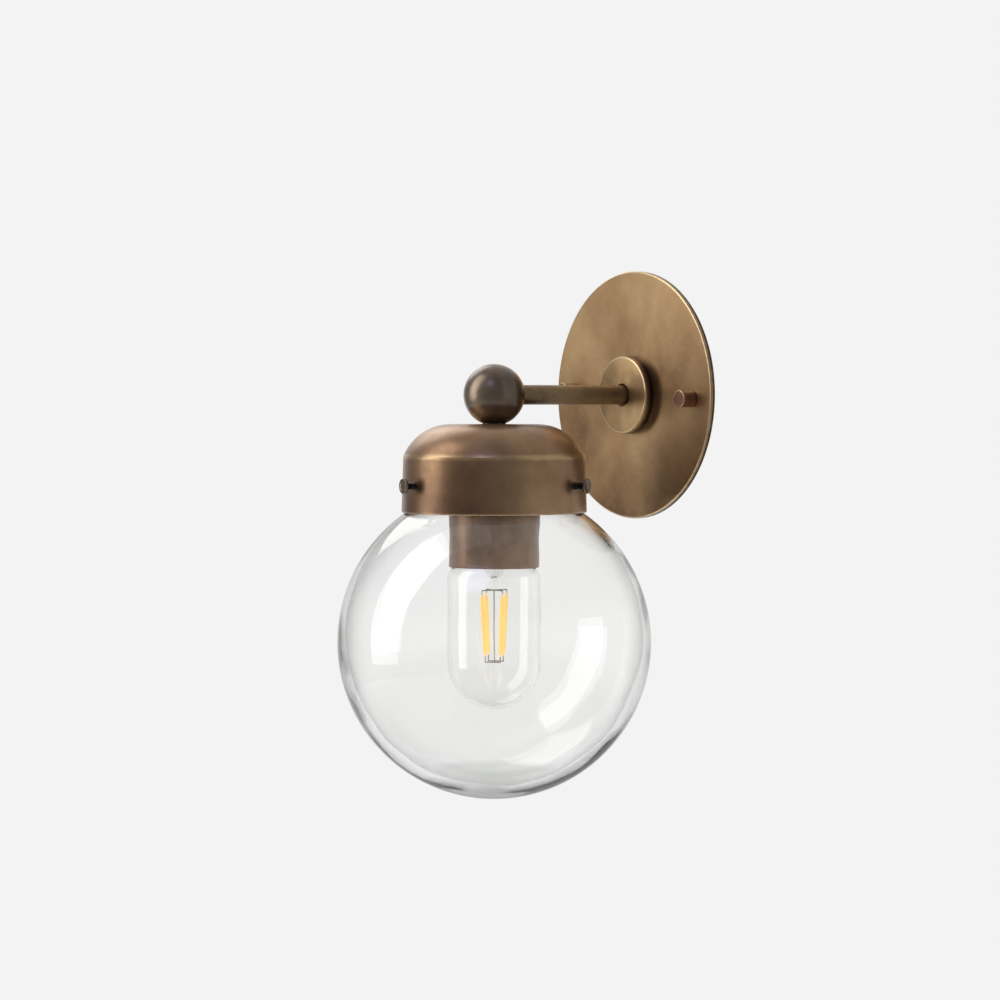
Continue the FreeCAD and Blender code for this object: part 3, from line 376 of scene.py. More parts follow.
# brass darkened by age, brushed round its axis and lacquered. Bands of painted shade, and light bands of
# wear and painted highlight, are each by height or by radius, with their centre and width in mm and their
# colour. fade is how fast the colour lightens along x, y and z, per metre
def agedBrass(
    name, light, middle, dark, axis, roughness=0.36, cloudScale=22.0, mottleScale=190.0, mottle=0.18,
    specks=0.3, coat=0.3, metallic=0.9, lineStrength=0.12, wearShadeAndHighlightBands=(), fade=None,
):
    material, tree, shader = newMaterial(name)
    vector = objectVector(tree, axis)
    patina = addNode(tree, "ShaderNodeGroup", -600)
    patina.node_tree = agedMetal
    tree.links.new(vector, patina.inputs["Vector"])
    for label, value in (("Light", light), ("Middle", middle), ("Dark", dark), ("Cloud Scale", cloudScale),
                         ("Mottle Scale", mottleScale), ("Mottle", mottle), ("Specks", specks)):
        patina.inputs[label].default_value = value
    if fade:
        slope = addNode(tree, "ShaderNodeVectorMath", -900, -300, operation="DOT_PRODUCT")
        slope.inputs[1].default_value = fade
        tree.links.new(objectVector(tree), slope.inputs[0])
        tree.links.new(slope.outputs["Value"], patina.inputs["Shift"])
    lines = addNode(tree, "ShaderNodeGroup", -600, -400)
    lines.node_tree = turnedLines
    tree.links.new(vector, lines.inputs["Vector"])
    colour = patina.outputs["Color"]
    rough = mathNode(tree, "ADD", patina.outputs["Roughness"], roughness)
    for alongRadius, centre, width, bandColour in wearShadeAndHighlightBands:
        band = addNode(tree, "ShaderNodeGroup", -600, -700)
        band.node_tree = wearShadeAndHighlightBand
        tree.links.new(vector, band.inputs["Vector"])
        for label, value in (("By Radius", alongRadius), ("Centre", centre * mm), ("Width", width * mm)):
            band.inputs[label].default_value = value
        colour = mixColours(tree, band.outputs["Mask"], colour, bandColour)
        rough = mathNode(tree, "SUBTRACT", rough, mathNode(tree, "MULTIPLY", band.outputs["Mask"], 0.08))
    tree.links.new(colour, shader.inputs["Base Color"])
    tree.links.new(rough, shader.inputs["Roughness"])
    shader.inputs["Metallic"].default_value = metallic
    shader.inputs["Coat Weight"].default_value = coat
    shader.inputs["Coat Roughness"].default_value = 0.24
    bumpFrom(
        tree,
        shader,
        [(patina.outputs["Height"], 0.12, 0.0001), (lines.outputs["Height"], lineStrength, 0.00005)],
    )
    return material


# plated or bare metal with a slightly uneven surface
def plainMetal(name, colour, roughness, wear=0.12, scale=260.0):
    material, tree, shader = newMaterial(name)
    vector = objectVector(tree)
    cloud = noiseNode(tree, vector, scale, 6, 0.62)
    mask = rampNode(tree, cloud.outputs["Fac"], 0.35, 0.68)
    darker = tuple(c * 0.62 for c in colour[:3]) + (1.0,)
    tree.links.new(mixColours(tree, mask, darker, colour), shader.inputs["Base Color"])
    shader.inputs["Metallic"].default_value = 1.0
    tree.links.new(
        mathNode(tree, "ADD", mathNode(tree, "MULTIPLY", mask, -wear), roughness + wear),
        shader.inputs["Roughness"],
    )
    grain = noiseNode(tree, vector, 2600, 3, 0.6)
    bumpFrom(tree, shader, [(grain.outputs["Fac"], 0.15, 0.00005)])
    return material


# moulded or extruded plastic, with faint cloudiness and a fine skin
def mouldedPlastic(name, colour, roughness, speckle=0.15):
    material, tree, shader = newMaterial(name)
    vector = objectVector(tree)
    cloud = noiseNode(tree, vector, 140, 5, 0.6)
    mask = rampNode(tree, cloud.outputs["Fac"], 0.3, 0.7)
    other = tuple(min(c * (1 - speckle) + 0.004, 1) for c in colour[:3]) + (1.0,)
    tree.links.new(mixColours(tree, mask, other, colour), shader.inputs["Base Color"])
    tree.links.new(
        mathNode(tree, "ADD", mathNode(tree, "MULTIPLY", mask, 0.08), roughness),
        shader.inputs["Roughness"],
    )
    skin = noiseNode(tree, vector, 3200, 2, 0.5)
    bumpFrom(tree, shader, [(skin.outputs["Fac"], 0.12, 0.00004)])
    return material


# clear glass with the slow waves of a blown or drawn surface, which greys where it is seen edge on: partly
# its own tint over the longer path, partly painted shade for the dark edge of the glass
def clearGlass(name, face, rim, waviness, waveScale, shadedFoot=None):
    material, tree, shader = newMaterial(name)
    weight = addNode(tree, "ShaderNodeLayerWeight", -900, 300)
    edgeOn = rampNode(tree, weight.outputs["Facing"], 0.45, 0.9)
    # edge-on grey: partly the glass's own tint, partly painted shade
    colour = mixColours(tree, mathNode(tree, "MULTIPLY", edgeOn, edgeOn), face, rim)
    if shadedFoot:   # the globe's thicker bottom is painted greyer from one height down to the other: painted shade for the darker surroundings seen through it
        parts = addNode(tree, "ShaderNodeSeparateXYZ", -900, 600)
        tree.links.new(objectVector(tree), parts.inputs[0])
        footShadeMask = rampNode(tree, parts.outputs["Z"], shadedFoot[0] * mm, shadedFoot[1] * mm)
        colour = mixColours(tree, footShadeMask, colour, mixColours(tree, 1.0, colour, shadedFoot[2], "MULTIPLY"))
    tree.links.new(colour, shader.inputs["Base Color"])
    shader.inputs["Roughness"].default_value = 0.0
    shader.inputs["IOR"].default_value = 1.5
    shader.inputs["Transmission Weight"].default_value = 1.0
    waves = noiseNode(tree, objectVector(tree), waveScale, 1.5, 0.4)
    calm = rampNode(tree, weight.outputs["Facing"], 0.42, 0.15)
    height = mathNode(tree, "MULTIPLY", waves.outputs["Fac"], calm)
    bumpFrom(tree, shader, [(height, 1.0, waviness)])
    return material


# yellow phosphor gel over a thin rod, a little uneven in colour and thickness, with a faint painted glow
def glowingFilamentCoat(name):
    material, tree, shader = newMaterial(name)
    vector = objectVector(tree)
    cloud = noiseNode(tree, vector, 900, 4, 0.6)
    mask = rampNode(tree, cloud.outputs["Fac"], 0.35, 0.65)
    coat = mixColours(tree, mask, srgb(254, 203, 104), srgb(255, 213, 118))
    tree.links.new(coat, shader.inputs["Base Color"])
    tree.links.new(coat, shader.inputs["Emission Color"])
    # the emission is a painted glow that brightens the filaments
    shader.inputs["Emission Strength"].default_value = 0.8
    shader.inputs["Roughness"].default_value = 0.42
    shader.inputs["Subsurface Weight"].default_value = 0.25
    shader.inputs["Subsurface Radius"].default_value = (0.0015, 0.0008, 0.0003)
    shader.inputs["Subsurface Scale"].default_value = 1.0
    bumpFrom(tree, shader, [(cloud.outputs["Fac"], 0.15, 0.00005)])
    return material


byHeight, byRadius = 0.0, 1.0
# two light colours for edges, the cap's crease and the bottom of its rim: partly wear, partly painted
# highlight; the dark colour is painted shade
wornEdgeAndHighlight, wornCapLineAndHighlight, paintedShade = srgb(232, 204, 160), srgb(186, 156, 116), srgb(46, 37, 33)
brassPlate = agedBrass(
    "agedBrassPlate", srgb(194, 162, 120), srgb(166, 133, 95), srgb(122, 92, 63), "wall",
    # the colour lightens towards the top and a little along x
    roughness=0.40, cloudScale=17, mottleScale=120, mottle=0.22, specks=0.25, fade=(0.6, 0.0, 4.8),
    # a dark band of painted shade on the rim side next to the wall, and a light band on the front edge,
    # partly wear and partly painted highlight
    wearShadeAndHighlightBands=[(byHeight, 0.9, 1.1, paintedShade), (byRadius, 60.3, 0.55, wornEdgeAndHighlight)],
)
brassBoss = agedBrass(
    "agedBrassBoss", srgb(196, 166, 122), srgb(168, 138, 98), srgb(122, 96, 66), "wall",
    roughness=0.40, cloudScale=40,
    # a dark band of painted shade on the boss's side, and a light band on its front edge, partly wear and
    # partly painted highlight
    wearShadeAndHighlightBands=[(byHeight, 5.2, 3.4, paintedShade), (byRadius, 18.4, 0.6, wornEdgeAndHighlight)],
)
brassArm = agedBrass(
    "agedBrassArm", srgb(184, 158, 119), srgb(153, 129, 95), srgb(104, 85, 61), "wall", roughness=0.44,
)
brassBall = agedBrass(
    "agedBrassBall", srgb(142, 126, 106), srgb(110, 94, 78), srgb(74, 62, 50), "lamp",
    roughness=0.34, coat=0.5, metallic=0.8,
)
brassCap = agedBrass(
    "agedBrassCap", srgb(182, 150, 117), srgb(150, 118, 88), srgb(108, 80, 61), "lamp",
    roughness=0.40, cloudScale=16, mottle=0.14,
    # light bands on the crease and the bottom of the rim: partly wear, partly painted highlight
    wearShadeAndHighlightBands=[(byHeight, -29.3, 2.0, wornCapLineAndHighlight), (byHeight, -56.2, 1.2, wornCapLineAndHighlight)],
)
brassCup = agedBrass(
    "agedBrassCup", srgb(168, 141, 114), srgb(142, 115, 92), srgb(103, 79, 63), "lamp",
    roughness=0.48, cloudScale=18, mottle=0.14,
)
brassScrew = agedBrass(
    "agedBrassScrew", srgb(150, 134, 116), srgb(112, 96, 80), srgb(72, 52, 40), "lamp", roughness=0.30,
)
# the screw shanks are coloured much darker than the heads
blackScrew = agedBrass(
    "darkScrewShank", srgb(62, 54, 50), srgb(44, 38, 36), srgb(26, 22, 21), "lamp", roughness=0.38,
)
brassKnob = agedBrass(
    "agedBrassKnob", srgb(176, 134, 110), srgb(142, 102, 82), srgb(94, 62, 50), "wall",
    # a light ring at the edge of the face: partly wear, partly painted highlight
    roughness=0.34, wearShadeAndHighlightBands=[(byHeight, 10.85, 0.13, wornEdgeAndHighlight)],
)
globeGlassMaterial = clearGlass(
    "globeGlassClear", (0.995, 0.998, 0.994, 1), (0.14, 0.15, 0.14, 1), 0.0008, 30,
    shadedFoot=(-184.6, -187.4, (0.64, 0.66, 0.63, 1)),
)
lampGlassMaterial = clearGlass(
    "lampGlassClear", (0.995, 0.995, 0.99, 1), (0.88, 0.88, 0.87, 1), 0.00003, 50,
)
zincSteel = plainMetal("zincPlatedSteel", srgb(196, 196, 192), 0.34)
nickelCap = plainMetal("nickelScrewCap", srgb(214, 212, 206), 0.22, 0.08)
springBrass = plainMetal("springBrass", srgb(206, 176, 112), 0.28)
wireSteel = plainMetal("supportWire", srgb(188, 184, 176), 0.3)
greenScrew = plainMetal("greenScrew", srgb(72, 140, 84), 0.35)
blackPhenolic = mouldedPlastic("blackPhenolic", srgb(34, 32, 31), 0.42)
blackGlaze = mouldedPlastic("blackInsulator", srgb(22, 22, 26), 0.16)
whiteBlock = mouldedPlastic("whiteBlock", srgb(222, 220, 212), 0.46, 0.05)
blackLead = mouldedPlastic("blackLead", srgb(28, 27, 27), 0.38)
whiteLead = mouldedPlastic("whiteLead", srgb(226, 225, 220), 0.38, 0.05)
boardGreen = mouldedPlastic("boardGreen", srgb(44, 96, 58), 0.34)
filamentYellow = glowingFilamentCoat("filamentYellow")
print("materials made")


plateValues = {
    "radius": 60.8,
    "depth": 2.6,
    "sheet": 1.2,
    "edge": 0.8,
    "hole": 4.05,
    "studHole": 2.5,
    "studs": 92.6,
    "tilt": 2.45,
}


# pressed pan with a rounded front edge and two stud holes
def makeWallPlate(v):
    outer, inner = v["radius"], v["radius"] - v["sheet"]
    inside = v["depth"] - v["sheet"]
    profile = [(v["hole"], v["depth"])]
    profile += [(r, v["depth"]) for r in (20, 40, outer - v["edge"] - 0.6)]
    profile += arcRings(outer - v["edge"], v["depth"] - v["edge"], v["edge"], 90, 0, 6)
    profile += [
        (outer, 0.25),
        (outer - 0.2, 0),
        (inner + 0.2, 0),
        (inner, 0.2),
        (inner, inside - 0.3),
        (inner - 0.3, inside),
    ]
    profile += [(40, inside), (20, inside), (v["hole"], inside)]
    plate = turnShape("wallPlatePan", profile, "wall", 192, closed=True)
    tilt = math.radians(v["tilt"])
    tools = []
    for side in (-1, 1):
        place = (
            side * v["studs"] / 2 * math.cos(tilt),
            -v["depth"] / 2,
            -side * v["studs"] / 2 * math.sin(tilt),
        )
        tools.append(roundTool(v["studHole"], 10, place, (0, 1, 0)))
    cutWith(plate, tools)
    tidyShell(plate, 30)
    return onBody(plate, "fixture", brassPlate, "wall_plate")


makeWallPlate(plateValues)

bossValues = {
    "radius": 19.1,
    "back": 2.6,
    "front": 9.0,
    "edge": 0.9,
    "recess": 5.5,
    "floor": 7.0,
    "hole": 4.05,
}


def makeBoss(v):
    profile = [(v["hole"], v["back"]), (v["radius"] - 0.3, v["back"]), (v["radius"], v["back"] + 0.3)]
    profile += arcRings(v["radius"] - v["edge"], v["front"] - v["edge"], v["edge"], 0, 90, 6)
    profile += [
        (v["recess"] + 0.25, v["front"]),
        (v["recess"], v["front"] - 0.25),
        (v["recess"], v["floor"]),
        (v["hole"], v["floor"]),
    ]
    return onBody(turnShape("bossTurned", profile, "wall", 128, closed=True), "fixture", brassBoss, "boss")


makeBoss(bossValues)

armValues = {
    "bore": 2.8,
    "tail": -4.0,
    "thread": 4.0,
    "back": 7.0,
    "radius": 4.75,
    "front": 73.0,
    "spigot": 5.5,
    "pitch": 1.0,
}


# the tube with a threaded spigot at each end; the ridges show at the tail, behind the nut
def makeArm(v):
    profile = [(v["bore"], v["tail"]), (v["thread"] - 0.5, v["tail"])]
    profile += threadRings(v["thread"], 0.3, v["tail"] + 0.3, v["back"] - 0.8, v["pitch"])
    profile += [
        (v["thread"] - 0.3, v["back"]), (v["radius"] - 0.2, v["back"]), (v["radius"], v["back"] + 0.2),
    ]
    profile += [(v["radius"], h) for h in (25, 45, 65)]
    profile += [(v["radius"], v["front"] - 0.2), (v["radius"] - 0.2, v["front"])]
    profile += threadRings(v["thread"], 0.3, v["front"], v["front"] + v["spigot"] - 0.3, v["pitch"])
    profile += [(v["thread"] - 0.4, v["front"] + v["spigot"]), (v["bore"], v["front"] + v["spigot"])]
    return onBody(turnShape("armTube", profile, "wall", 64, closed=True), "fixture", brassArm, "arm_tube")


makeArm(armValues)

ballValues = {"radius": 14.7, "flat": 13.4, "chamber": 8.5, "hole": 4.05}


# a sphere cut flat below and behind, hollowed and bored
def makeBall(v):
    clearSelection()
    bpy.ops.mesh.primitive_uv_sphere_add(
        segments=128, ring_count=64, radius=v["radius"] * mm, location=(0, lampY, 0),
    )
    ball = bpy.context.object
    ball.name = "ballTurned"
    bpy.ops.object.mode_set(mode="EDIT")
    bpy.ops.mesh.select_all(action="SELECT")
    bpy.ops.mesh.bisect(
        plane_co=(0, lampY, -v["flat"] * mm), plane_no=(0, 0, -1), clear_outer=True, use_fill=True,
    )
    bpy.ops.mesh.select_all(action="SELECT")
    bpy.ops.mesh.bisect(
        plane_co=(0, lampY + v["flat"] * mm, 0), plane_no=(0, 1, 0), clear_outer=True, use_fill=True,
    )
    bpy.ops.object.mode_set(mode="OBJECT")
    bpy.ops.mesh.primitive_uv_sphere_add(
        segments=64, ring_count=32, radius=v["chamber"] * mm, location=(0, lampY, 0),
    )
    chamber = bpy.context.object
    holes = [
        roundTool(v["hole"], 20, (0, lampY / mm, -10), (0, 0, 1)),
        roundTool(v["hole"], 20, (0, lampY / mm + 10, 0), (0, 1, 0)),
    ]
    cutWith(ball, [chamber] + holes)
    tidyShell(ball, 30)
    return onBody(ball, "fixture", brassBall, "ball")


makeBall(ballValues)
print("plate, boss, arm and ball made")


capValues = {
    "top": -14.0,
    "flat": 20.7,
    "arc": 24.5,
    "shoulder": 43.4,
    "rim": 44.25,
    "height": 42.2,
    "sheet": 1.2,
    "hole": 1.85,
    "screwHeight": -43.0,
    "screwTurn": -4.7,
    "neckHole": 4.05,
}


# the spun cap with its crease, a rounded rim and three screw holes
def makeShadeCap(v):
    drop = v["arc"] - math.sqrt(v["arc"] ** 2 - (v["shoulder"] - v["flat"]) ** 2)
    crease = math.degrees(math.asin((v["arc"] - drop) / v["arc"]))
    bottom = v["top"] - v["height"]
    inside = v["top"] - v["sheet"]
    profile = [(v["neckHole"], v["top"]), (9, v["top"]), (15, v["top"])]
    profile += arcRings(v["flat"], v["top"] - v["arc"], v["arc"], 90, crease, 22)
    profile += [
        (
            v["shoulder"] + (v["rim"] - v["shoulder"]) * s,
            v["top"] - drop + (bottom + 0.7 - v["top"] + drop) * s,
        )
        for s in (0.02, 0.3, 0.6, 0.97)
    ]
    profile += arcRings(v["rim"] - 0.6, bottom + 0.6, 0.6, 0, -180, 8)
    profile += [
        (
            v["rim"] - v["sheet"] - (v["rim"] - v["shoulder"]) * s,
            bottom + 0.7 + (v["top"] - drop - bottom - 0.7) * s,
        )
        for s in (0.05, 0.5, 0.95)
    ]
    profile += arcRings(v["flat"], v["top"] - v["arc"], v["arc"] - v["sheet"], crease + 1, 90, 16)
    profile += [(12, inside), (v["neckHole"], inside)]
    cap = turnShape("shadeCapSpun", profile, "lamp", 192, closed=True, smoothAngle=14)
    tools = []
    for step in range(3):
        angle = math.radians(v["screwTurn"] - 90 + 120 * step)
        out = Vector((math.cos(angle), math.sin(angle), 0))
        place = Vector((0, lampY / mm, v["screwHeight"])) + out * v["rim"]
        tools.append(roundTool(v["hole"], 10, place, out))
    cutWith(cap, tools)
    tidyShell(cap, 14)
    return onBody(cap, "fixture", brassCap, "shade_cap")


makeShadeCap(capValues)

screwValues = {
    "tip": 38.3,
    "shank": 1.75,
    "underHead": 48.98,
    "headHeight": 1.3,
    "head": 3.65,
    "pitch": 0.79,
    "depth": 0.28,
}


# a thumb-tightened screw: threaded shank, thin round head with a turned rim
def makeShadeScrew(v, name, node, body, angleDegrees):
    angle = math.radians(angleDegrees)
    axes[name] = (
        Vector((0, lampY, capValues["screwHeight"] * mm)),
        Vector((math.cos(angle), math.sin(angle), 0)),
    )
    face = v["underHead"] + v["headHeight"]
    profile = [(0, v["tip"]), (v["shank"] - 0.45, v["tip"])]
    profile += threadRings(v["shank"], v["depth"], v["tip"] + 0.4, v["underHead"] - 0.35, v["pitch"])
    profile += [(v["shank"] - 0.2, v["underHead"] - 0.3), (v["shank"] - 0.2, v["underHead"])]
    profile += [(v["head"] - 0.3, v["underHead"])] + arcRings(
        v["head"] - 0.25, v["underHead"] + 0.25, 0.25, -90, 0, 3,
    )
    profile += arcRings(v["head"] - 0.35, face - 0.35, 0.35, 0, 90, 4)
    profile += [
        (v["head"] - 0.9, face), (v["head"] - 1.05, face - 0.08), (0.8, face - 0.12), (0, face - 0.12),
    ]
    screw = onBody(turnShape(name, profile, name, 48), body, brassScrew, node)
    screw.data.materials.append(blackScrew)
    base, along = axes[name]
    # the shank's faces take the much darker second material
    for face in screw.data.polygons:
        if (face.center - base).dot(along) < (v["underHead"] - 0.2) * mm:
            face.material_index = 1
    return screw


for label, node, body, step in (("shadeScrewFront", "shade_screw_front", "screw_front", 0),
                                ("shadeScrewSide", "shade_screw_side", "screw_side", 120),
                                ("shadeScrewRear", "shade_screw_rear", "screw_rear", 240)):
    makeShadeScrew(screwValues, label, node, body, capValues["screwTurn"] - 90 + step)

cupValues = {"radius": 21.55, "sheet": 1.0, "top": -19.5, "height": 63.6, "corner": 3.0, "hole": 4.05}


def makeSocketCup(v):
    bottom, inner = v["top"] - v["height"], v["radius"] - v["sheet"]
    profile = [(v["hole"], v["top"]), (10, v["top"])]
    profile += arcRings(v["radius"] - v["corner"], v["top"] - v["corner"], v["corner"], 90, 0, 8)
    profile += [(v["radius"], v["top"] - 25), (v["radius"], bottom + 20)]
    profile += arcRings(v["radius"] - 0.5, bottom + 0.5, 0.5, 0, -180, 8)
    profile += [(inner, bottom + 20), (inner, v["top"] - 25)]
    profile += arcRings(
        v["radius"] - v["corner"], v["top"] - v["corner"], v["corner"] - v["sheet"], 0, 90, 6,
    )
    profile += [(10, v["top"] - v["sheet"]), (v["hole"], v["top"] - v["sheet"])]
    return onBody(
        turnShape("socketCupSpun", profile, "lamp", 128, closed=True),
        "fixture",
        brassCup,
        "socket_cup",
    )


makeSocketCup(cupValues)

washerValues = {"radius": 5.7, "hole": 4.05, "low": -14.0, "high": -13.4}


def makeSeatWasher(v):
    profile = [(v["hole"], v["low"]), (v["radius"] - 0.15, v["low"])]
    profile += arcRings(v["radius"] - 0.2, (v["low"] + v["high"]) / 2, 0.2, -60, 60, 4)
    profile += [(v["radius"] - 0.15, v["high"]), (v["hole"], v["high"])]
    # the washer takes the ball's darker brass as painted shade, for the shadow it sits in between ball and
    # cap
    return onBody(
        turnShape("seatWasherTurned", profile, "lamp", 96, closed=True),
        "fixture",
        brassBall,
        "seat_washer",
    )


makeSeatWasher(washerValues)
print("cap, screws and cup made")


globeValues = {
    "radius": 75.0,
    "centre": -118.0,
    "wall": 3.7,
    "bottomExtra": 2.0,
    "neck": 38.0,
    "neckWall": 3.0,
    "lip": 41.25,
    "lipBottom": -40.95,
    "lipHeight": 3.2,
    "lipRound": 1.2,
}


# blown globe: round outside, thicker below, with a short neck and a rolled lip
def makeGlobe(v):
    radius, neck, neckIn = v["radius"], v["neck"], v["neck"] - v["neckWall"]
    inner, innerCentre = v["radius"] - v["wall"], v["centre"] + v["bottomExtra"]
    lip, lipRound, low, top = v["lip"], v["lipRound"], v["lipBottom"], v["lipBottom"] + v["lipHeight"]
    shoulder = math.degrees(math.acos(neck / radius))
    innerShoulder = math.degrees(math.acos(neckIn / inner))
    profile = arcRings(0, v["centre"], radius, -90, shoulder - 2.2, 72)
    profile += [
        (neck + 0.28, v["centre"] + radius * math.sin(math.radians(shoulder)) + 0.35),
        (neck, v["centre"] + radius * math.sin(math.radians(shoulder)) + 1.4),
    ]
    profile += [(neck, low - 0.3), (neck + 0.3, low)]
    profile += arcRings(lip - lipRound, low + lipRound, lipRound, -90, 0, 6)
    profile += arcRings(lip - lipRound, top - lipRound, lipRound, 0, 90, 6)
    profile += arcRings(neckIn + lipRound, top - lipRound, lipRound, 90, 180, 6)
    innerTop = innerCentre + inner * math.sin(math.radians(innerShoulder))
    profile += [(neckIn, innerTop + 1.4), (neckIn + 0.28, innerTop + 0.3)]
    profile += arcRings(0, innerCentre, inner, innerShoulder - 2.2, -90, 72)
    globe = turnShape("globeBlown", profile, "lamp", 192, smoothAngle=60)
    return onBody(globe, "fixture", globeGlassMaterial, "globe")


makeGlobe(globeValues)


lampValues = {
    "radius": 22.2,
    "bottom": -151.5,
    "shoulderDrop": -89.5,
    "shoulder": 10.0,
    "glass": 0.8,
    "neck": 12.2,
    "neckDrop": -76.5,
    "top": -64.0,
}


# the tubular bulb's glass, as one closed skin round the outside and back along the inside
def makeLampEnvelope(v):
    def skin(inset):
        wall, neck, corner = v["radius"] - inset, v["neck"] - inset, v["shoulder"] - inset
        rings = arcRings(0, v["bottom"] + v["radius"], wall, -90, 0, 24)
        rings += [(wall, h) for h in (-118, -104)]
        rings += arcRings(v["radius"] - v["shoulder"], v["shoulderDrop"], corner, 0, 66, 12)
        last = rings[-1]
        rings += [(last[0] + (neck - last[0]) * s, last[1] + (v["neckDrop"] - last[1]) * t)
                  for s, t in ((0.30, 0.17), (0.58, 0.40), (0.80, 0.66), (0.94, 0.88), (1.0, 1.1))]
        return rings + [(neck, v["top"])]
    profile = skin(0) + skin(v["glass"])[::-1]
    lamp = turnShape("lampGlassTube", profile, "lamp", 160, smoothAngle=60)
    return onBody(lamp, "lamp", lampGlassMaterial, "lamp_envelope")


makeLampEnvelope(lampValues)

screwCapValues = {
    "crest": 13.1,
    "depth": 0.75,
    "pitch": 3.63,
    "top": -49.5,
    "bottom": -70.0,
    "neck": 12.25,
    "sheet": 0.4,
    "shoulder": 11.5,
}


# the lamp's screw cap with its rolled round thread
def makeLampScrewCap(v):
    turns = 5
    profile = [
        (v["shoulder"] - 0.3, v["top"] + 0.9),
        (v["shoulder"], v["top"] + 0.9),
        (v["crest"] - v["depth"], v["top"] - 0.2),
    ]
    for ring in range(turns * 10 + 1):
        profile.append(
            (
                v["crest"] - v["depth"] * (0.5 + 0.5 * math.cos(ring / 10 * 2 * math.pi)),
                v["top"] - 0.6 - ring / 10 * v["pitch"],
            ),
        )
    profile += [
        (v["crest"] - 0.35, v["bottom"] + 1.0),
        (v["crest"] - 0.2, v["bottom"] + 0.1),
        (v["neck"], v["bottom"]),
        (v["neck"], v["bottom"] + 0.4),
    ]
    profile += [
        (v["crest"] - v["depth"] - v["sheet"], v["bottom"] + 2.0),
        (v["crest"] - v["depth"] - v["sheet"], v["top"] - 0.4),
        (v["shoulder"] - 0.4, v["top"] + 0.5),
    ]
    cap = turnShape("lampScrewCap", profile, "lamp", 96, closed=True)
    return onBody(cap, "lamp", nickelCap, "lamp_screw_cap")


makeLampScrewCap(screwCapValues)

filamentValues = {
    "top": -96.0,
    "length": 29.7,
    "radius": 1.0,
    "topRadius": 7.0,
    "bottomRadius": 5.1,
    "turn": -3.0,
}


# four coated rods, each modelled from one rod with swollen coating and bare metal ends
def makeFilaments(v):
    pieces = []
    for step in range(4):
        angle = math.radians(v["turn"] + 90 * step)
        out = Vector((math.cos(angle), math.sin(angle), 0))
        high = out * v["topRadius"] + Vector((0, lampY / mm, v["top"]))
        low = out * v["bottomRadius"] + Vector((0, lampY / mm, v["top"] - v["length"]))
        name = "filament%d" % (step + 1)
        axes[name] = (low * mm, (high - low).normalized())
        length, r = (high - low).length, v["radius"]
        profile = [(0, 0.02), (r * 0.45, 0.02), (r * 0.5, 0.5), (r * 0.52, 1.3)] + [
            (r * 0.8, 1.5), (r * 0.97, 2.1),
        ]
        profile += [
            (r * (0.985 + 0.012 * math.sin(i * 1.7 + step)), 2.1 + (length - 4.2) * i / 14)
            for i in range(1, 14)
        ]
        profile += [
            (r * 0.97, length - 2.1),
            (r * 0.8, length - 1.5),
            (r * 0.52, length - 1.3),
            (r * 0.5, length - 0.5),
            (r * 0.45, length - 0.02),
            (0, length - 0.02),
        ]
        pieces.append(turnShape(name, profile, name, 24, smoothAngle=50))
    clearSelection()
    for piece in pieces:
        piece.select_set(True)
    bpy.context.view_layer.objects.active = pieces[0]
    bpy.ops.object.join()
    group = bpy.context.object
    group.name = "lampFilaments"
    return onBody(group, "lamp", filamentYellow, "lamp_filaments")


makeFilaments(filamentValues)
print("glass and lamp made")


knobValues = {
    "radius": 3.9,
    "head": 4.4,
    "seat": 2.9,
    "under": 9.9,
    "face": 10.8,
    "dish": 3.5,
    "dishDepth": 0.3,
    "bore": 2.135,
    "boreEnd": 9.2,
}


# round brass nut: plain barrel, thin flange, a raised ring and a slightly sunk face
def makeKnobNut(v, name, node, body, side):
    tilt = math.radians(plateValues["tilt"])
    half = plateValues["studs"] / 2 * mm
    axes[name] = (
        Vector((side * half * math.cos(tilt), 0, -side * half * math.sin(tilt))), Vector((0, -1, 0)),
    )
    profile = [(0, v["boreEnd"]), (v["bore"] - 0.2, v["boreEnd"] - 0.2)]
    profile += [(v["bore"], v["boreEnd"] - 0.4), (v["bore"], v["seat"] + 0.3), (v["bore"] + 0.3, v["seat"])]
    profile += [
        (v["radius"] - 0.25, v["seat"]),
        (v["radius"], v["seat"] + 0.25),
        (v["radius"], v["under"] - 0.3),
    ]
    profile += [(v["radius"] + 0.1, v["under"] - 0.1)] + arcRings(
        v["head"] - 0.3, v["under"] + 0.3, 0.3, -90, 0, 4,
    )
    profile += arcRings(v["head"] - 0.3, v["face"] - 0.3, 0.3, 0, 90, 4)
    profile += [
        (v["dish"] + 0.15, v["face"]),
        (v["dish"], v["face"] - v["dishDepth"]),
        (2.0, v["face"] - v["dishDepth"]),
        (0, v["face"] - v["dishDepth"] + 0.05),
    ]
    knob = turnShape(name, profile, name, 64)
    return onBody(knob, body, brassKnob, node)


makeKnobNut(knobValues, "knobNutLeft", "knob_nut_left", "nut_left", -1)
makeKnobNut(knobValues, "knobNutRight", "knob_nut_right", "nut_right", 1)
print("knob nuts made")


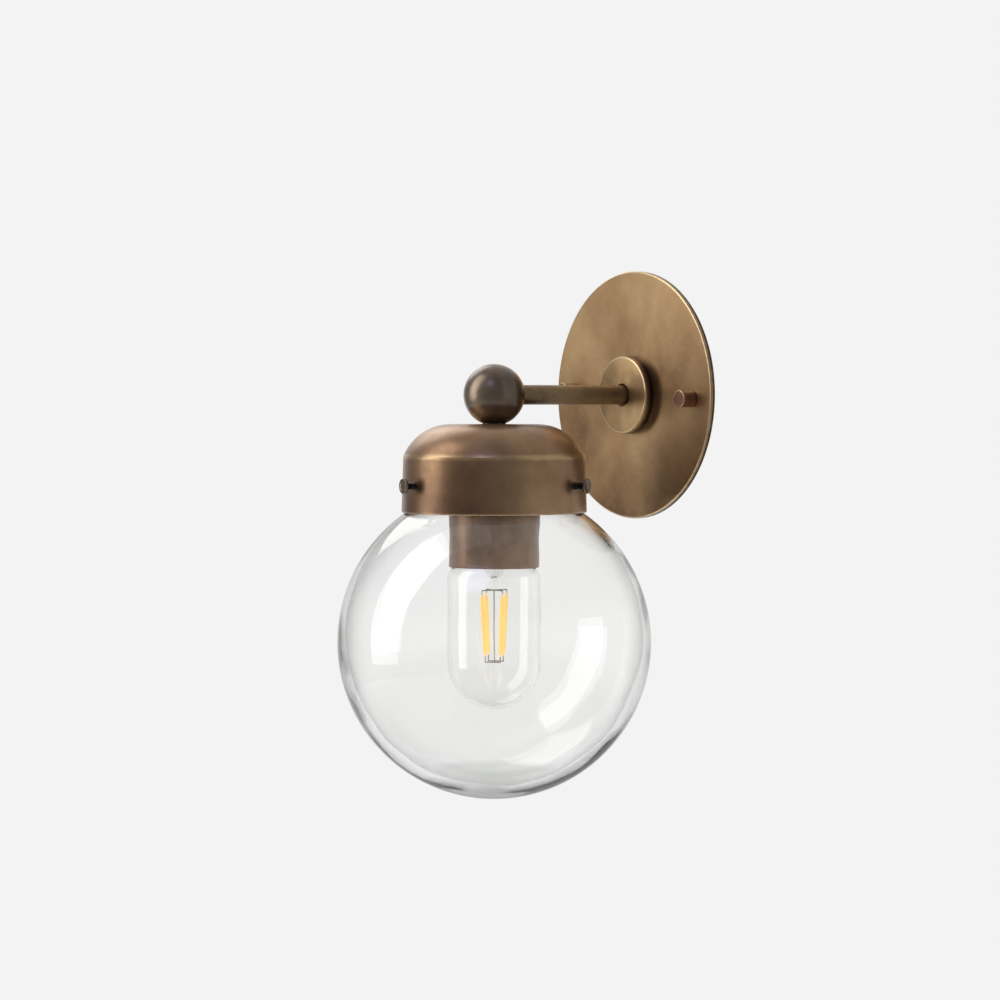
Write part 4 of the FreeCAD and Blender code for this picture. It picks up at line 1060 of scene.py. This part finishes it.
keptFinishes = {
    "arm_washer": zincSteel,
    "arm_nut": zincSteel,
    "nipple": zincSteel,
    "cap_washer": zincSteel,
    "cap_nut": zincSteel,
    "box_bar": zincSteel,
    "stud_bar": zincSteel,
    "bar_eyelet": zincSteel,
    "studs": zincSteel,
    "stud_nuts": zincSteel,
    "terminal_screws": springBrass,
    "screw_shell": springBrass,
    "holder_posts": springBrass,
    "centre_contact": springBrass,
    "lamp_tip": springBrass,
    "earth_screw": greenScrew,
    "holder_dome": blackPhenolic,
    "holder_core": blackPhenolic,
    "holder_skirt": blackPhenolic,
    "lamp_insulator": blackGlaze,
    "lamp_stem": lampGlassMaterial,
    "lamp_wires": wireSteel,
    "lamp_driver": boardGreen,
    "terminal_block": whiteBlock,
    "live_lead": blackLead,
    "neutral_lead": whiteLead,
}
for nodeName, finish in keptFinishes.items():
    kept = nodes[nodeName]
    kept.data.materials.clear()
    kept.data.materials.append(finish)
print("finishes given to", len(keptFinishes), "CAD pieces")


viewAzimuth = math.radians(54.1)
stageValues = {
    "floor": -0.62,
    "radius": 1.55,
    "backdrop": srgb(243, 243, 243),
    "plain": srgb(249, 249, 249),
    "plainShare": 0.85,
    "paper": srgb(238, 238, 238),
}


# a round sheet of pale paper below the fixture, which keeps a faint shadow; the glass sees it as plain light
def makeFloor(v):
    clearSelection()
    bpy.ops.mesh.primitive_circle_add(
        vertices=128, radius=v["radius"], fill_type="NGON", location=(0, 0, v["floor"]),
    )
    floor = bpy.context.object
    floor.name = "paleFloor"
    material, tree, shader = newMaterial("paleFloorPaper")
    shader.inputs["Roughness"].default_value = 0.9
    grain = noiseNode(tree, objectVector(tree), 40, 4, 0.6)
    fibre = rampNode(tree, grain.outputs["Fac"], 0.3, 0.7)
    tree.links.new(mixColours(tree, fibre, srgb(234, 234, 234), v["paper"]), shader.inputs["Base Color"])
    plain = addNode(tree, "ShaderNodeEmission")
    plain.inputs["Color"].default_value = v["plain"]
    path = addNode(tree, "ShaderNodeLightPath")
    mix = addNode(tree, "ShaderNodeMixShader")
    seen = mathNode(tree, "MULTIPLY", path.outputs["Is Camera Ray"], v["plainShare"])
    tree.links.new(mathNode(tree, "MAXIMUM", seen, path.outputs["Is Transmission Ray"]), mix.inputs[0])
    tree.links.new(shader.outputs[0], mix.inputs[1])
    tree.links.new(plain.outputs[0], mix.inputs[2])
    tree.links.new(mix.outputs[0], tree.nodes["Material Output"].inputs["Surface"])
    floor.data.materials.append(material)


makeFloor(stageValues)

roomValues = {
    "room": srgb(134, 134, 136),
    "ceiling": srgb(128, 131, 146),
    "wallLeft": srgb(238, 237, 235),
    "wallRight": srgb(194, 193, 191),
    "through": srgb(243, 243, 242),
    "throughHigh": srgb(120, 121, 122),
}


def makeWorld(v):
    world = bpy.data.worlds.new("paleRoom")
    bpy.context.scene.world = world
    world.use_nodes = True
    tree = world.node_tree
    coordinate = addNode(tree, "ShaderNodeTexCoord")
    direction = coordinate.outputs["Generated"]
    parts = addNode(tree, "ShaderNodeSeparateXYZ")
    tree.links.new(direction, parts.inputs[0])
    wallSide = rampNode(tree, parts.outputs["Y"], -0.08, 0.12)
    wall = mixColours(tree, rampNode(tree, parts.outputs["X"], -0.7, 0.3), v["wallLeft"], v["wallRight"])
    upward = rampNode(tree, parts.outputs["Z"], 0.15, 0.85)
    reflected = mixColours(tree, wallSide, mixColours(tree, upward, v["room"], v["ceiling"]), wall)
    path = addNode(tree, "ShaderNodeLightPath")
    through = mixColours(tree, rampNode(tree, parts.outputs["Z"], 0.12, 0.4), v["through"], v["throughHigh"])
    colour = mixColours(tree, path.outputs["Is Transmission Ray"], reflected, through)
    colour = mixColours(tree, path.outputs["Is Camera Ray"], colour, stageValues["backdrop"])
    tree.links.new(colour, tree.nodes["Background"].inputs["Color"])


makeWorld(roomValues)

lightValues = {
    "window": {"azimuth": -32.0, "elevation": 24.0, "distance": 1.9, "size": (1.05, 2.8), "power": 20.5,
               "colour": (1.0, 0.97, 0.92)},
    "sky": {"azimuth": 36.0, "elevation": 46.0, "distance": 1.5, "size": (0.45, 0.45), "power": 0.9,
            "colour": (0.5, 0.46, 1.0)},
    "wallGlow": {"azimuth": -98.0, "elevation": 38.0, "distance": 1.5, "size": (0.8, 0.8), "power": 2.6,
                 "colour": (1.0, 0.98, 0.95)},
    "above": {"azimuth": -30.0, "elevation": 74.0, "distance": 1.6, "size": (0.8, 0.8), "power": 0.6,
              "colour": (1.0, 0.98, 0.96)},
}


def makeLights(lamps):
    target = Vector((0, lampY, -0.08))
    for name, v in lamps.items():
        data = bpy.data.lights.new(name, "AREA")
        data.shape = "RECTANGLE"
        data.size, data.size_y = v["size"]
        data.energy = v["power"]
        data.color = v["colour"]
        azimuth, elevation = math.radians(v["azimuth"]), math.radians(v["elevation"])
        outward = Vector(
            (
                math.sin(azimuth) * math.cos(elevation),
                -math.cos(azimuth) * math.cos(elevation),
                math.sin(elevation),
            ),
        )
        lamp = bpy.data.objects.new(name, data)
        lamp.location = target + outward * v["distance"]
        lamp.rotation_euler = (-outward).to_track_quat("-Z", "Y").to_euler()
        bpy.context.collection.objects.link(lamp)


makeLights(lightValues)

cameraValues = {"distance": 1.5134, "height": -0.0032, "lens": 114.12, "pitchDown": 1.78, "turn": -0.1056}


def makeCamera(v):
    data = bpy.data.cameras.new("photoCamera")
    data.lens = v["lens"]
    data.sensor_width = 36
    camera = bpy.data.objects.new("photoCamera", data)
    camera.location = (
        math.sin(viewAzimuth) * v["distance"],
        lampY - math.cos(viewAzimuth) * v["distance"],
        v["height"],
    )
    camera.rotation_euler = (math.radians(90 - v["pitchDown"]), 0, viewAzimuth + math.radians(v["turn"]))
    bpy.context.collection.objects.link(camera)
    bpy.context.scene.camera = camera


makeCamera(cameraValues)
bpy.context.scene.view_settings.view_transform = "Standard"
print("stage, light and camera ready")
